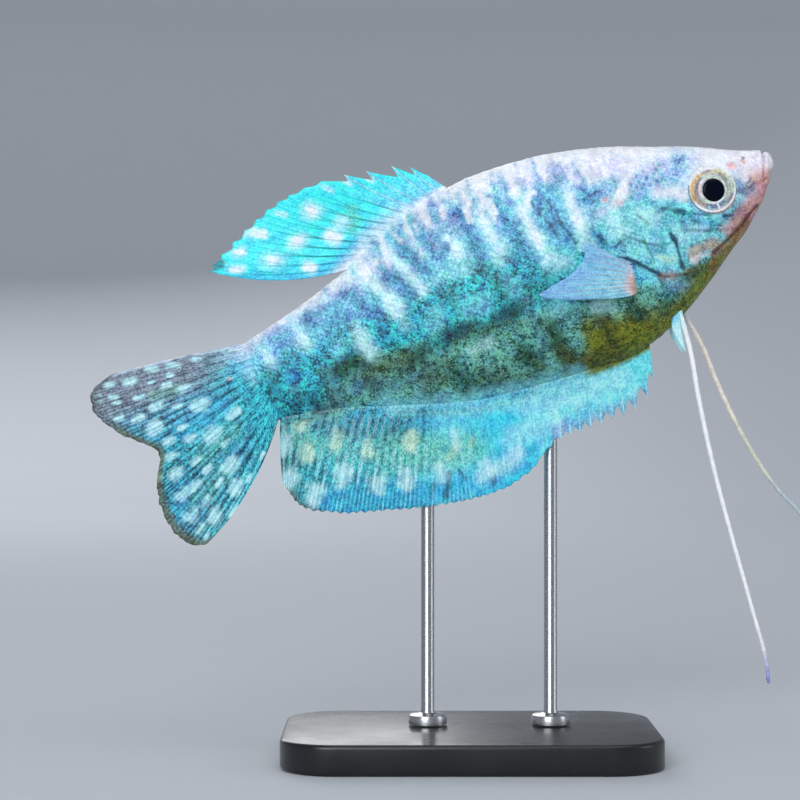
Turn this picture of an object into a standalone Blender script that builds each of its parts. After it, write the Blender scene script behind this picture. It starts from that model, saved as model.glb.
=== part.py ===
"""Opaline gourami: an adult about 120 mm long, as a still life-size model on a plain display stand.

The fish is modelled in a frame of its own. The snout's tip is the origin, X runs forward, Y to the
fish's left and Z up, and a station s is the distance back from the snout. One empty then pitches the
whole fish nose up and lifts it over the stand, whose base has its underside on Z = 0.
Lengths below are in millimetres and angles in degrees.
"""

import math

import bmesh
import bpy
import numpy as np

MM = 0.001
GAP = 0.3  # between neighbouring solids

# Pose over the stand
PITCH = 23.0
SNOUT_X, SNOUT_Z = 50.3, 99.1

# Body: station, height of the back, height of the belly, half width, height of the widest level,
# and how sharp the back and the belly are (1 is round, 2 is a keel)
BODY = (
    (0.0, 1.3, -0.8, 1.1, 0.2, 1.0, 1.0),
    (0.8, 1.7, -1.5, 1.8, 0.1, 0.9, 0.9),
    (2.4, 2.75, -3.5, 2.4, -0.4, 0.85, 0.9),
    (4.0, 3.5, -5.4, 3.1, -0.9, 0.85, 1.0),
    (6.4, 4.65, -7.4, 4.0, -1.1, 0.8, 1.1),
    (8.8, 5.95, -9.3, 4.7, -1.1, 0.8, 1.1),
    (12.0, 7.6, -11.15, 5.35, -1.1, 0.8, 1.1),
    (17.5, 9.9, -14.6, 6.2, -1.8, 0.9, 1.1),
    (25.0, 13.0, -18.5, 6.9, -2.4, 1.0, 1.0),
    (33.6, 15.5, -20.8, 7.1, -2.2, 1.1, 1.05),
    (42.0, 16.8, -20.2, 6.8, -1.2, 1.15, 1.2),
    (50.0, 17.1, -19.5, 6.3, -0.2, 1.2, 1.4),
    (60.5, 14.9, -18.0, 5.3, 0.0, 1.2, 1.6),
    (72.6, 10.9, -13.9, 4.0, -0.3, 1.2, 1.7),
    (82.0, 8.4, -10.4, 2.9, -0.6, 1.2, 1.6),
    (93.2, 6.3, -7.6, 1.6, -0.7, 1.2, 1.3),
)
BODY_LENGTH = 93.2
SNOUT_CAP, TAIL_CAP = 0.5, 0.8  # lengths over which the two ends round off
RINGS, SIDES = 46, 32
RING_CROWDING = 0.72  # how much closer the rings stand at both ends than in the middle

# Cuts across the body, as heights with the station of the cut at each
MOUTH_CUT = (
    (30.0, 0.2), (2.2, 0.8), (1.0, 1.3), (-1.1, 2.1), (-3.2, 3.5), (-5.7, 5.9), (-8.0, 8.6), (-10.5, 10.3),
    (-30.0, 10.5),
)
COVER_EDGE = (
    (30.0, 21.0), (13.0, 22.6), (3.8, 26.1), (0.4, 29.8), (-3.6, 31.6),
    (-7.1, 30.0), (-10.2, 26.2), (-12.6, 21.3), (-15.5, 17.2), (-30.0, 12.0),
)
STALK_CUT = ((30.0, 82.0), (-30.0, 82.0))
CUT_REACH = 26.0  # above and below the snout's level, and past both ends of the body
CUT_HALF_WIDTH = 16.0
CUT_STEPS = 26

# Gill cover: how far it stands proud at its rear edge, and how far forward that fades out
COVER_LIFT, COVER_FADE = 0.45, 11.0
COVER_TOP, COVER_TOP_FADE = 5.5, 5.0
COVER_BOTTOM, COVER_BOTTOM_FADE = -13.5, 3.0

# Eyes
EYE_STATION, EYE_HEIGHT, EYE_SIDE = 11.8, -0.85, 3.9
EYE_RADIUS, EYE_DEPTH = 4.2, 2.3
EYE_TURN = 10.0  # towards the snout
EYE_SIDES, EYE_RINGS = 18, 10

FIN_THICK = 0.6
FIN_ROOT_DEPTH = 1.6  # how far a fin's sheet starts inside the body, before the body is cut out of it

# Fins. Roots and tips are given at shares of the way along the fin, with their stations and heights.
# A notch is how far the web falls back between two rays, as a share of the ray, for the first and the
# last of the spines; soft rays only have a small dip. A bulge is how far the first and the last ray
# bow out at mid length.
SOFT_NOTCH = 0.035
SPINE_CROWDING = 0.55  # draws the columns of the grid behind a spine towards the next one

DORSAL_ROOT = ((0.0, 51.8, 17.0), (0.4, 60.4, 14.9), (1.0, 72.4, 10.9))
DORSAL_TIPS = (
    (0.0, 54.0, 20.4), (0.067, 56.0, 22.6), (0.133, 58.7, 23.9), (0.2, 63.0, 24.8), (0.267, 66.6, 25.6),
    (0.4, 73.6, 26.1), (0.533, 78.4, 25.7), (0.667, 83.0, 24.4), (0.8, 87.8, 22.4), (0.93, 92.3, 20.3),
    (1.0, 93.4, 19.5),
)
DORSAL_RAYS, DORSAL_SPINES, DORSAL_NOTCH, DORSAL_BULGE = 15, 5, (0.5, 0.12), (0.0, -1.6)

ANAL_ROOT = (
    (0.0, 31.0, -20.5), (0.075, 36.8, -20.8), (0.25, 49.0, -19.6), (0.42, 60.5, -18.0),
    (0.6, 72.6, -13.9), (0.77, 82.0, -10.4), (1.0, 92.2, -7.9),
)
ANAL_TIPS = (
    (0.0, 32.4, -25.9), (0.025, 34.5, -28.4), (0.05, 37.1, -29.3), (0.1, 41.3, -29.3),
    (0.175, 47.1, -29.1), (0.225, 50.5, -28.9), (0.25, 52.4, -29.3), (0.275, 54.2, -30.1),
    (0.3, 56.0, -31.3), (0.35, 59.7, -32.5), (0.46, 66.0, -32.6), (0.6, 74.1, -31.0),
    (0.73, 82.4, -28.4), (0.84, 89.4, -25.8), (0.92, 94.2, -22.8), (1.0, 95.9, -17.6),
)
ANAL_RAYS, ANAL_SPINES, ANAL_NOTCH, ANAL_BULGE = 40, 10, (0.42, 0.08), (0.0, 0.2)

CAUDAL_ROOT = ((0.0, 92.4, 6.2), (1.0, 92.4, -7.5))
CAUDAL_TIPS = (
    (0.0, 115.2, 10.2), (0.08, 118.8, 9.1), (0.19, 120.1, 5.9), (0.34, 117.4, 0.3),
    (0.47, 112.9, -4.9), (0.58, 115.1, -9.2), (0.72, 116.2, -14.6), (0.84, 114.9, -19.8),
    (0.93, 111.6, -21.9), (1.0, 106.9, -19.9),
)
CAUDAL_RAYS, CAUDAL_BULGE = 15, (0.25, -0.95)

# The pectoral fins swing out from the flank towards their tips
PECTORAL_ROOT = ((0.0, 29.0, -6.9), (1.0, 30.8, -11.6))
PECTORAL_TIPS = (
    (0.0, 36.0, -0.8), (0.3, 38.4, -2.9), (0.5, 41.6, -4.2), (0.72, 45.9, -5.9), (0.86, 42.0, -8.2),
    (1.0, 36.3, -10.1),
)
PECTORAL_RAYS, PECTORAL_BULGE, PECTORAL_SWING = 10, (0.3, -0.2), 24.0

# Pelvic fins: a short fan of soft rays, and in front of it one ray drawn out into a long feeler.
# Route points are station, height and distance out from the middle plane.
PELVIC_ROOT = ((0.0, 25.4, -17.0), (1.0, 26.4, -17.7))
PELVIC_TIPS = ((0.0, 26.2, -23.9), (0.5, 26.6, -22.2), (1.0, 27.0, -20.4))
PELVIC_RAYS, PELVIC_BULGE, PELVIC_SIDE = 2, (0.2, 0.2), 2.3
RIGHT_FEELER = (
    (24.2, -15.8, 2.0), (24.5, -18.0, 2.3), (25.2, -22.9, 2.7), (27.2, -31.4, 3.2), (29.6, -43.4, 4.1),
    (31.3, -54.4, 5.0), (32.9, -66.0, 5.8), (34.5, -76.1, 6.3), (35.3, -78.6, 6.4),
)
LEFT_FEELER = (
    (24.0, -15.8, 2.0), (23.1, -19.5, 2.4), (22.6, -22.7, 2.9), (22.4, -31.7, 4.4), (21.6, -41.3, 6.2),
    (19.5, -51.5, 8.0), (17.4, -56.9, 8.8), (14.6, -66.8, 10.0), (12.4, -77.0, 10.8),
)
FEELER_RADII = (0.42, 0.30)  # at the root and at the tip
FEELER_LENGTHS = 3
FEELER_POINTS = 11  # in each length
FEELER_SIDES = 2  # the tube's bevel resolution

# Stand
BASE_LENGTH, BASE_WIDTH, BASE_THICK = 62.0, 40.0, 5.0
BASE_CORNER, BASE_CORNER_STEPS = 9.0, 8
BASE_ROUNDING, BASE_ROUNDING_STEPS = 0.7, 2
ROD_RADIUS = 1.1
ROD_FOOT_RADIUS, ROD_FOOT_HEIGHT, ROD_FOOT_FILLET = 3.2, 1.6, 0.5
ROD_PLACES = {"stand_rod_rear": (-7.0, 2.2, 69.0), "stand_rod_front": (13.5, 2.2, 73.0)}  # X, Y, top
ROD_TURN_STEPS = 24

# Each piece's colour, roughness and metallic value
FINISHES = {
    "head": ("#B9D3E8", 0.35, 0.1),
    "lower_jaw": ("#C79A8E", 0.45, 0.0),
    "trunk": ("#4FA3BE", 0.35, 0.1),
    "tail_stalk": ("#3E86A8", 0.35, 0.1),
    "eye": ("#C9A65E", 0.15, 0.2),
    "dorsal_fin": ("#2FC4E6", 0.4, 0.0),
    "anal_fin": ("#4BA9B8", 0.4, 0.0),
    "caudal_fin": ("#3F8FA8", 0.4, 0.0),
    "pectoral_fin": ("#86BBDD", 0.4, 0.0),
    "pelvic_fin": ("#BFE6F2", 0.4, 0.0),
    "pelvic_feeler": ("#E6E8E6", 0.45, 0.0),
    "stand_base": ("#1C1D1F", 0.4, 0.0),
    "stand_rod": ("#A9ABAD", 0.3, 1.0),
}


def curve_through(xs, ys, x):
    """The height at x of a smooth curve through the points (xs, ys), with xs rising."""
    xs, ys, x = np.asarray(xs, float), np.asarray(ys, float), np.asarray(x, float)
    steps = np.diff(xs)
    slopes = np.diff(ys) / steps
    middle = (slopes[:-1] * steps[1:] + slopes[1:] * steps[:-1]) / (steps[:-1] + steps[1:])
    tangents = np.concatenate([slopes[:1], middle, slopes[-1:]])
    i = np.clip(np.searchsorted(xs, x, side="right") - 1, 0, len(steps) - 1)
    t = (x - xs[i]) / steps[i]
    return (
        ys[i] * (1 + 2 * t) * (1 - t) ** 2
        + ys[i + 1] * t**2 * (3 - 2 * t)
        + steps[i] * t * (1 - t) * (tangents[i] * (1 - t) - tangents[i + 1] * t)
    )


def cut_station(cut, height):
    """The station of a cut across the body at a height. The cut's points run downwards."""
    heights, stations = zip(*reversed(cut))
    return curve_through(heights, stations, height)


def smooth_step(low, high, value):
    t = np.clip((value - low) / (high - low), 0.0, 1.0)
    return t * t * (3 - 2 * t)


def cover_lift(s, z):
    """How far the gill cover stands out of the flank at a station and height."""
    ahead = cut_station(COVER_EDGE, z) - s
    along = smooth_step(COVER_FADE, 0.0, ahead)
    below_top = smooth_step(COVER_TOP, COVER_TOP - COVER_TOP_FADE, z)
    above_bottom = smooth_step(COVER_BOTTOM, COVER_BOTTOM + COVER_BOTTOM_FADE, z)
    return COVER_LIFT * along * below_top * above_bottom


def body_section(s):
    """The columns of the BODY table at the stations s, without the first."""
    stations, *columns = zip(*BODY)
    return [curve_through(stations, column, s) for column in columns]


def body_points(s, angle, grow=0.0, with_covers=False):
    """Points of the body's surface, in the fish's frame. Angle 0 is the ridge of the back and pi the keel."""
    back, belly, width, level, back_edge, belly_edge = body_section(s)
    from_snout = np.clip(s / SNOUT_CAP, 0, 1)
    from_tail = np.clip((BODY_LENGTH - s) / TAIL_CAP, 0, 1)
    cap = np.sqrt(1 - (1 - from_snout) ** 2) * np.sqrt(1 - (1 - from_tail) ** 2)
    up, out = np.cos(angle), np.sin(angle)
    reach = np.where(up > 0, back - level, level - belly) + grow
    height = level + reach * up * cap
    sharpness = np.where(up > 0, back_edge, belly_edge)
    side = np.sign(out) * (width + grow) * np.abs(out) ** sharpness * cap
    if with_covers:
        side += np.sign(out) * cover_lift(s, height) * np.abs(out)
    x = -s + np.where(s < BODY_LENGTH / 2, grow, -grow) * (1 - cap)
    return np.stack([x, side, height], axis=1)


def mesh_object(name, bm, collection):
    """A new object that holds the finished bmesh, its faces outwards."""
    bm.normal_update()
    bmesh.ops.recalc_face_normals(bm, faces=bm.faces)
    mesh = bpy.data.meshes.new(name)
    bm.to_mesh(mesh)
    bm.free()
    obj = bpy.data.objects.new(name, mesh)
    collection.objects.link(obj)
    return obj


def move_vertices(bm, places):
    for vertex, place in zip(bm.verts, places * MM):
        vertex.co = place


def body_object(name, collection, grow=0.0, with_covers=False):
    """The whole body: a sphere drawn out along the stations, its poles at the snout and the tail."""
    bm = bmesh.new()
    bmesh.ops.create_uvsphere(bm, u_segments=SIDES, v_segments=RINGS, radius=1)
    unit = np.array([v.co for v in bm.verts])
    share = np.arccos(np.clip(unit[:, 2], -1, 1)) / math.pi
    s = BODY_LENGTH * (share - RING_CROWDING * np.sin(2 * math.pi * share) / (2 * math.pi))
    angle = np.arctan2(unit[:, 1], unit[:, 0])
    move_vertices(bm, body_points(s, angle, grow, with_covers))
    return mesh_object(name, bm, collection)


def strip_prism(name, collection, front_cut, rear_cut):
    """The space between two cuts across the body, half a gap inside each."""
    heights = np.linspace(CUT_REACH, -CUT_REACH, CUT_STEPS)
    front = np.full(CUT_STEPS, -CUT_REACH)
    rear = np.full(CUT_STEPS, BODY_LENGTH + CUT_REACH)
    if front_cut is not None:
        front = cut_station(front_cut, heights) + GAP / 2
    if rear_cut is not None:
        rear = cut_station(rear_cut, heights) - GAP / 2
    outline = list(zip(front, heights)) + list(zip(rear, heights))[::-1]
    curve = bpy.data.curves.new(name, "CURVE")
    curve.dimensions = "2D"
    curve.fill_mode = "BOTH"
    curve.extrude = CUT_HALF_WIDTH * MM
    spline = curve.splines.new("POLY")
    spline.points.add(len(outline) - 1)
    for point, (s, z) in zip(spline.points, outline):
        point.co = (-s * MM, z * MM, 0, 1)
    spline.use_cyclic_u = True
    guide = bpy.data.objects.new(name, curve)
    collection.objects.link(guide)
    guide.rotation_euler.x = math.pi / 2
    return made_mesh(guide, collection)


def made_mesh(guide, collection):
    """A curve object turned into a closed mesh object in the same place, its loose caps welded on."""
    bpy.context.view_layer.update()
    evaluated = guide.evaluated_get(bpy.context.evaluated_depsgraph_get())
    loose = bpy.data.meshes.new_from_object(evaluated)
    bm = bmesh.new()
    bm.from_mesh(loose)
    bpy.data.meshes.remove(loose)
    bmesh.ops.remove_doubles(bm, verts=bm.verts, dist=0.001 * MM)
    bm.transform(guide.matrix_world)
    name = guide.name
    bpy.data.objects.remove(guide)
    return mesh_object(name, bm, collection)


def add_boolean(obj, operation, other):
    modifier = obj.modifiers.new(f"{operation.lower()} {other.name}", "BOOLEAN")
    modifier.operation = operation
    modifier.object = other


def hide_tool(obj):
    obj.hide_render = True
    obj.display_type = "WIRE"


def linear(hex_colour):
    """A Blender colour from an sRGB hex value."""
    channels = [int(hex_colour[i : i + 2], 16) / 255 for i in (1, 3, 5)]
    return [c / 12.92 if c <= 0.04045 else ((c + 0.055) / 1.055) ** 2.4 for c in channels] + [1.0]


def add_finish(obj, finish):
    colour, roughness, metallic = FINISHES[finish]
    material = bpy.data.materials.new(obj.name)
    material.use_nodes = True
    shader = material.node_tree.nodes["Principled BSDF"]
    shader.inputs["Base Color"].default_value = linear(colour)
    shader.inputs["Roughness"].default_value = roughness
    shader.inputs["Metallic"].default_value = metallic
    material.diffuse_color = linear(colour)
    obj.data.materials.append(material)


def add_body(parts, tools):
    """The jaw, head, trunk and tail stalk: the whole body, once for each, kept between two cuts."""
    pieces = (
        ("lower_jaw", None, MOUTH_CUT),
        ("head", MOUTH_CUT, COVER_EDGE),
        ("trunk", COVER_EDGE, STALK_CUT),
        ("tail_stalk", STALK_CUT, None),
    )
    made = {}
    for name, front_cut, rear_cut in pieces:
        piece = body_object(name, parts, with_covers=name == "head")
        strip = strip_prism(f"{name}_strip", tools, front_cut, rear_cut)
        hide_tool(strip)
        add_boolean(piece, "INTERSECT", strip)
        piece.data.shade_smooth()
        add_finish(piece, name)
        made[name] = piece
    return made


def eye_object(name, collection, side, grow=0.0):
    """One eyeball, flattened from side to side and turned a little towards the snout."""
    bm = bmesh.new()
    bmesh.ops.create_uvsphere(bm, u_segments=EYE_SIDES, v_segments=EYE_RINGS, radius=1)
    for vertex in bm.verts:
        x, y, z = vertex.co
        vertex.co = ((EYE_RADIUS + grow) * x * MM, (EYE_RADIUS + grow) * y * MM, (EYE_DEPTH + grow) * z * MM)
    eye = mesh_object(name, bm, collection)
    eye.location = (-EYE_STATION * MM, side * EYE_SIDE * MM, EYE_HEIGHT * MM)
    eye.rotation_euler = (-side * math.pi / 2, 0, -side * math.radians(EYE_TURN))
    return eye


def add_eyes(parts, tools, head):
    for name, side in (("eye_right", -1), ("eye_left", 1)):
        eye = eye_object(name, parts, side)
        eye.data.shade_smooth()
        add_finish(eye, "eye")
        socket = eye_object(f"{name}_socket", tools, side, GAP)
        hide_tool(socket)
        add_boolean(head, "DIFFERENCE", socket)


def edge_points(edge, u):
    """Stations and heights at the shares u of a fin's root line or of the line of its tips."""
    shares, *axes = zip(*edge)
    return np.stack([curve_through(shares, axis, u) for axis in axes], axis=1)


def fin_object(name, collection, root, tips, rays, spines, notch, bulge, place, columns_per_ray, rows):
    """A fin as one thick sheet. root and tips are in stations and heights, and place turns them into points.

    The sheet is a grid: columns run from the root to the ray tips, and its first row lies inside the body.
    Behind each spine the web falls away from the spine's tip and meets the next spine lower down, which
    leaves a saw edge.
    """
    columns = rays * columns_per_ray
    bm = bmesh.new()
    bmesh.ops.create_grid(bm, x_segments=columns, y_segments=rows, size=1)
    column = np.array([round((v.co.x + 1) / 2 * columns) for v in bm.verts])
    along = np.array([(v.co.y + 1) / 2 for v in bm.verts])
    ray, part = np.divmod(column / columns_per_ray, 1)
    spiny = ray < spines
    part = np.where(spiny, part**SPINE_CROWDING, part)
    u = (ray + part) / rays
    fall = np.interp(ray, (0, max(spines - 1, 1)), notch) * part
    full = 1 - np.where(spiny, fall, SOFT_NOTCH * np.sin(math.pi * part))
    start, end = edge_points(root, u), edge_points(tips, u)
    length = np.linalg.norm(end - start, axis=1)
    inside = -FIN_ROOT_DEPTH / length
    v = inside + (full - inside) * along
    across = np.stack([-(end - start)[:, 1], (end - start)[:, 0]], axis=1) / length[:, None]
    bow = 4 * np.clip(v, 0, 1) * (1 - np.clip(v, 0, 1))
    bend = np.interp(u, (0, 1), bulge) * bow
    flat = start + (end - start) * v[:, None] + across * bend[:, None]
    move_vertices(bm, place(flat))
    fin = mesh_object(name, bm, collection)
    thickness = fin.modifiers.new("thickness", "SOLIDIFY")
    thickness.thickness = FIN_THICK * MM
    thickness.offset = 0
    return fin


def on_middle_plane(flat):
    return np.stack([-flat[:, 0], np.zeros(len(flat)), flat[:, 1]], axis=1)


def flank_width(s, z):
    """The body's half width at a station and height."""
    back, belly, width, level, back_edge, belly_edge = body_section(s)
    share = np.where(z > level, (z - level) / (back - level), (level - z) / (level - belly))
    sharpness = np.where(z > level, back_edge, belly_edge)
    return width * np.sqrt(1 - np.clip(share, 0, 1) ** 2) ** sharpness


def swung_out(side):
    """Places a pectoral fin: its root on the flank, and the rest further out the further back it reaches."""
    root_station = (PECTORAL_ROOT[0][1] + PECTORAL_ROOT[1][1]) / 2
    root_width = float(flank_width(root_station, (PECTORAL_ROOT[0][2] + PECTORAL_ROOT[1][2]) / 2))

    def place(flat):
        out = root_width + (flat[:, 0] - root_station) * math.tan(math.radians(PECTORAL_SWING))
        return np.stack([-flat[:, 0], side * out, flat[:, 1]], axis=1)

    return place


def beside_middle(side):
    def place(flat):
        return np.stack([-flat[:, 0], np.full(len(flat), side * PELVIC_SIDE), flat[:, 1]], axis=1)

    return place


def add_fins(parts, grown_body):
    dorsal = (DORSAL_ROOT, DORSAL_TIPS, DORSAL_RAYS, DORSAL_SPINES, DORSAL_NOTCH, DORSAL_BULGE)
    anal = (ANAL_ROOT, ANAL_TIPS, ANAL_RAYS, ANAL_SPINES, ANAL_NOTCH, ANAL_BULGE)
    caudal = (CAUDAL_ROOT, CAUDAL_TIPS, CAUDAL_RAYS, 0, (0, 0), CAUDAL_BULGE)
    pectoral = (PECTORAL_ROOT, PECTORAL_TIPS, PECTORAL_RAYS, 0, (0, 0), PECTORAL_BULGE)
    pelvic = (PELVIC_ROOT, PELVIC_TIPS, PELVIC_RAYS, 0, (0, 0), PELVIC_BULGE)
    fins = (
        ("dorsal_fin", "dorsal_fin", *dorsal, on_middle_plane, 4, 5),
        ("anal_fin", "anal_fin", *anal, on_middle_plane, 3, 4),
        ("caudal_fin", "caudal_fin", *caudal, on_middle_plane, 2, 6),
        ("pectoral_fin_right", "pectoral_fin", *pectoral, swung_out(-1), 2, 4),
        ("pectoral_fin_left", "pectoral_fin", *pectoral, swung_out(1), 2, 4),
        ("pelvic_fin_right", "pelvic_fin", *pelvic, beside_middle(-1), 1, 3),
        ("pelvic_fin_left", "pelvic_fin", *pelvic, beside_middle(1), 1, 3),
    )
    for name, finish, *shape in fins:
        fin = fin_object(name, parts, *shape)
        add_boolean(fin, "DIFFERENCE", grown_body)
        add_finish(fin, finish)


def feeler_route(points, side):
    """Evenly spaced points of a feeler's middle line, with its radius at each, from the root to the tip."""
    points = np.array(points)
    chords = np.linalg.norm(np.diff(points, axis=0), axis=1)
    way = np.concatenate([[0], np.cumsum(chords)])
    steps = np.linspace(0, way[-1], FEELER_LENGTHS * FEELER_POINTS)
    s, z, out = (curve_through(way, column, steps) for column in points.T)
    radius = np.interp(steps / way[-1], (0, 1), FEELER_RADII)
    return np.stack([-s, side * out, z, radius], axis=1)


def tube_object(name, collection, route):
    """A tapering tube with closed ends along a route of points and radii."""
    curve = bpy.data.curves.new(name, "CURVE")
    curve.dimensions = "3D"
    curve.bevel_depth = MM
    curve.bevel_resolution = FEELER_SIDES
    curve.use_fill_caps = True
    spline = curve.splines.new("POLY")
    spline.points.add(len(route) - 1)
    for point, (x, y, z, radius) in zip(spline.points, route):
        point.co = (x * MM, y * MM, z * MM, 1)
        point.radius = radius
    tube = bpy.data.objects.new(name, curve)
    collection.objects.link(tube)
    return made_mesh(tube, collection)


def add_feelers(parts, grown_body):
    """Each feeler in a few lengths, which meet end to end with a gap between them."""
    for side_name, side, points in (("right", -1, RIGHT_FEELER), ("left", 1, LEFT_FEELER)):
        route = feeler_route(points, side)
        for i in range(FEELER_LENGTHS):
            first = i * FEELER_POINTS
            length = route[first : first + FEELER_POINTS + 1].copy()
            if i < FEELER_LENGTHS - 1:
                last_step = length[-1] - length[-2]
                length[-1] -= last_step * GAP / np.linalg.norm(last_step[:3])
            name = f"pelvic_feeler_{side_name}_{('root', 'middle', 'tip')[i]}"
            piece = tube_object(name, parts, length)
            piece.data.shade_smooth()
            add_finish(piece, "pelvic_feeler")
            if i == 0:
                add_boolean(piece, "DIFFERENCE", grown_body)


def round_edges(bm, wanted, radius, steps):
    """Rounds the edges whose rise from end to end is wanted."""
    edges = [e for e in bm.edges if wanted(abs(e.verts[0].co.z - e.verts[1].co.z) / MM)]
    bmesh.ops.bevel(
        bm, geom=edges, offset=radius * MM, offset_type="OFFSET", segments=steps, profile=0.5, affect="EDGES"
    )


def add_base(parts):
    """A flat base with rounded corners and slightly rounded rims."""
    bm = bmesh.new()
    bmesh.ops.create_cube(bm, size=1)
    for vertex in bm.verts:
        x, y, z = vertex.co
        vertex.co = (x * BASE_LENGTH * MM, y * BASE_WIDTH * MM, (z + 0.5) * BASE_THICK * MM)
    round_edges(bm, lambda rise: rise > BASE_THICK / 2, BASE_CORNER, BASE_CORNER_STEPS)
    round_edges(bm, lambda rise: rise < BASE_THICK / 2, BASE_ROUNDING, BASE_ROUNDING_STEPS)
    base = mesh_object("stand_base", bm, parts)
    add_finish(base, "stand_base")


def add_rods(parts, grown_body):
    """Two upright rods behind the anal fin, each with a turned foot, cut to fit under the trunk."""
    foot = BASE_THICK + GAP
    for name, (x, y, top) in ROD_PLACES.items():
        profile = (
            (0.0, top),
            (ROD_RADIUS, top),
            (ROD_RADIUS, foot + ROD_FOOT_HEIGHT + ROD_FOOT_FILLET),
            (ROD_RADIUS + ROD_FOOT_FILLET, foot + ROD_FOOT_HEIGHT),
            (ROD_FOOT_RADIUS - ROD_FOOT_FILLET, foot + ROD_FOOT_HEIGHT),
            (ROD_FOOT_RADIUS, foot + ROD_FOOT_HEIGHT - ROD_FOOT_FILLET),
            (ROD_FOOT_RADIUS, foot),
            (0.0, foot),
        )
        bm = bmesh.new()
        corners = [bm.verts.new((r * MM, 0, z * MM)) for r, z in profile]
        for start, end in zip(corners, corners[1:]):
            bm.edges.new((start, end))
        mesh = bpy.data.meshes.new(name)
        bm.to_mesh(mesh)
        bm.free()
        rod = bpy.data.objects.new(name, mesh)
        parts.objects.link(rod)
        rod.location = (x * MM, y * MM, 0)
        turn = rod.modifiers.new("turned", "SCREW")
        turn.steps = turn.render_steps = ROD_TURN_STEPS
        turn.use_merge_vertices = True
        turn.merge_threshold = 0.01 * MM
        add_boolean(rod, "DIFFERENCE", grown_body)
        add_finish(rod, "stand_rod")


def new_collection(name):
    collection = bpy.data.collections.new(name)
    bpy.context.scene.collection.children.link(collection)
    return collection


def main():
    for obj in list(bpy.data.objects):
        bpy.data.objects.remove(obj)
    parts = new_collection("opaline_gourami")
    tools = new_collection("tools")

    made = add_body(parts, tools)
    add_eyes(parts, tools, made["head"])
    grown_body = body_object("body_with_gap", tools, grow=GAP, with_covers=True)
    hide_tool(grown_body)
    add_fins(parts, grown_body)
    add_feelers(parts, grown_body)

    fish = bpy.data.objects.new("fish_pose", None)
    parts.objects.link(fish)
    for obj in [*parts.objects, *tools.objects]:
        if obj is not fish:
            obj.parent = fish
    fish.location = (SNOUT_X * MM, 0, SNOUT_Z * MM)
    fish.rotation_euler.y = -math.radians(PITCH)

    add_base(parts)
    add_rods(parts, grown_body)


main()
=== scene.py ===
import math

import bmesh
import bpy
import numpy as np
from bpy.props import FloatProperty, FloatVectorProperty
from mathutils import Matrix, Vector


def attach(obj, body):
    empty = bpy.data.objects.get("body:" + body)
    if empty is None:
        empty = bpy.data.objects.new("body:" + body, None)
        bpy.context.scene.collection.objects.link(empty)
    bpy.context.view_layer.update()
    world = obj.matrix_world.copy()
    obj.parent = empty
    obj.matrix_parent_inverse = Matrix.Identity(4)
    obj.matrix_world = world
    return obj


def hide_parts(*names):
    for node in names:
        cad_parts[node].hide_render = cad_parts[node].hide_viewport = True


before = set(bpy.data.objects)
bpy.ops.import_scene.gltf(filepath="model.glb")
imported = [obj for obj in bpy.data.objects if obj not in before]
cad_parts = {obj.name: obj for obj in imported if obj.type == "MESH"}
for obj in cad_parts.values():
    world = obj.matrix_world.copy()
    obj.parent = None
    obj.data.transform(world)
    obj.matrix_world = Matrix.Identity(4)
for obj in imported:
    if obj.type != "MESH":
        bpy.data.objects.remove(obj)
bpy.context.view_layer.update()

bl_info = {
    "name": "Opaline gourami model",
    "version": (1, 0, 0),
    "blender": (4, 5, 0),
    "location": "View3D > Sidebar > Gourami",
    "description": "Builds the skin, scales, eyes, fins, feelers and stand of a life-size opaline gourami",
    "category": "Object",
}

# Lengths are in millimetres in the fish's own frame, as in the CAD: a station s is the distance back from the
# snout, y is out to the fish's left and z is up. The fish is then pitched nose up over the stand.
MM = 0.001
PITCH = math.radians(23.0)
SNOUT_X, SNOUT_Z = 50.3, 99.1

# The camera stands level, square to the stand, on the fish's right
CAMERA_PLACE = (-11.62, -370.0, 59.26)
CAMERA_LENS, SENSOR = 100.3, 36.0

# Body sections, as in the CAD: station, back, belly, half width, widest level, sharpness of back and belly
BODY = (
    (0.0, 1.3, -0.8, 1.1, 0.2, 1.0, 1.0),
    (0.8, 1.7, -1.5, 1.8, 0.1, 0.9, 0.9),
    (2.4, 2.75, -3.5, 2.4, -0.4, 0.85, 0.9),
    (4.0, 3.5, -5.4, 3.1, -0.9, 0.85, 1.0),
    (6.4, 4.65, -7.4, 4.0, -1.1, 0.8, 1.1),
    (8.8, 5.95, -9.3, 4.7, -1.1, 0.8, 1.1),
    (12.0, 7.6, -11.15, 5.35, -1.1, 0.8, 1.1),
    (17.5, 9.9, -14.6, 6.2, -1.8, 0.9, 1.1),
    (25.0, 13.0, -18.5, 6.9, -2.4, 1.0, 1.0),
    (33.6, 15.5, -20.8, 7.1, -2.2, 1.1, 1.05),
    (42.0, 16.8, -20.2, 6.8, -1.2, 1.15, 1.2),
    (50.0, 17.1, -19.5, 6.3, -0.2, 1.2, 1.4),
    (60.5, 14.9, -18.0, 5.3, 0.0, 1.2, 1.6),
    (72.6, 10.9, -13.9, 4.0, -0.3, 1.2, 1.7),
    (82.0, 8.4, -10.4, 2.9, -0.6, 1.2, 1.6),
    (93.2, 6.3, -7.6, 1.6, -0.7, 1.2, 1.3),
)
BODY_LENGTH = 93.2
SNOUT_CAP, TAIL_CAP = 0.5, 0.8
COAT_DEPTH = 0.12  # the skin lies this far inside the CAD's flesh

# Skin mesh: rings stand closest together over the head
SKIN_SIDES, SKIN_RINGS = 288, 338
RING_PLAN = ((0.0, 0.0), (0.06, 1.4), (0.5, 31.0), (0.97, 92.4), (1.0, 93.2))

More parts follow.
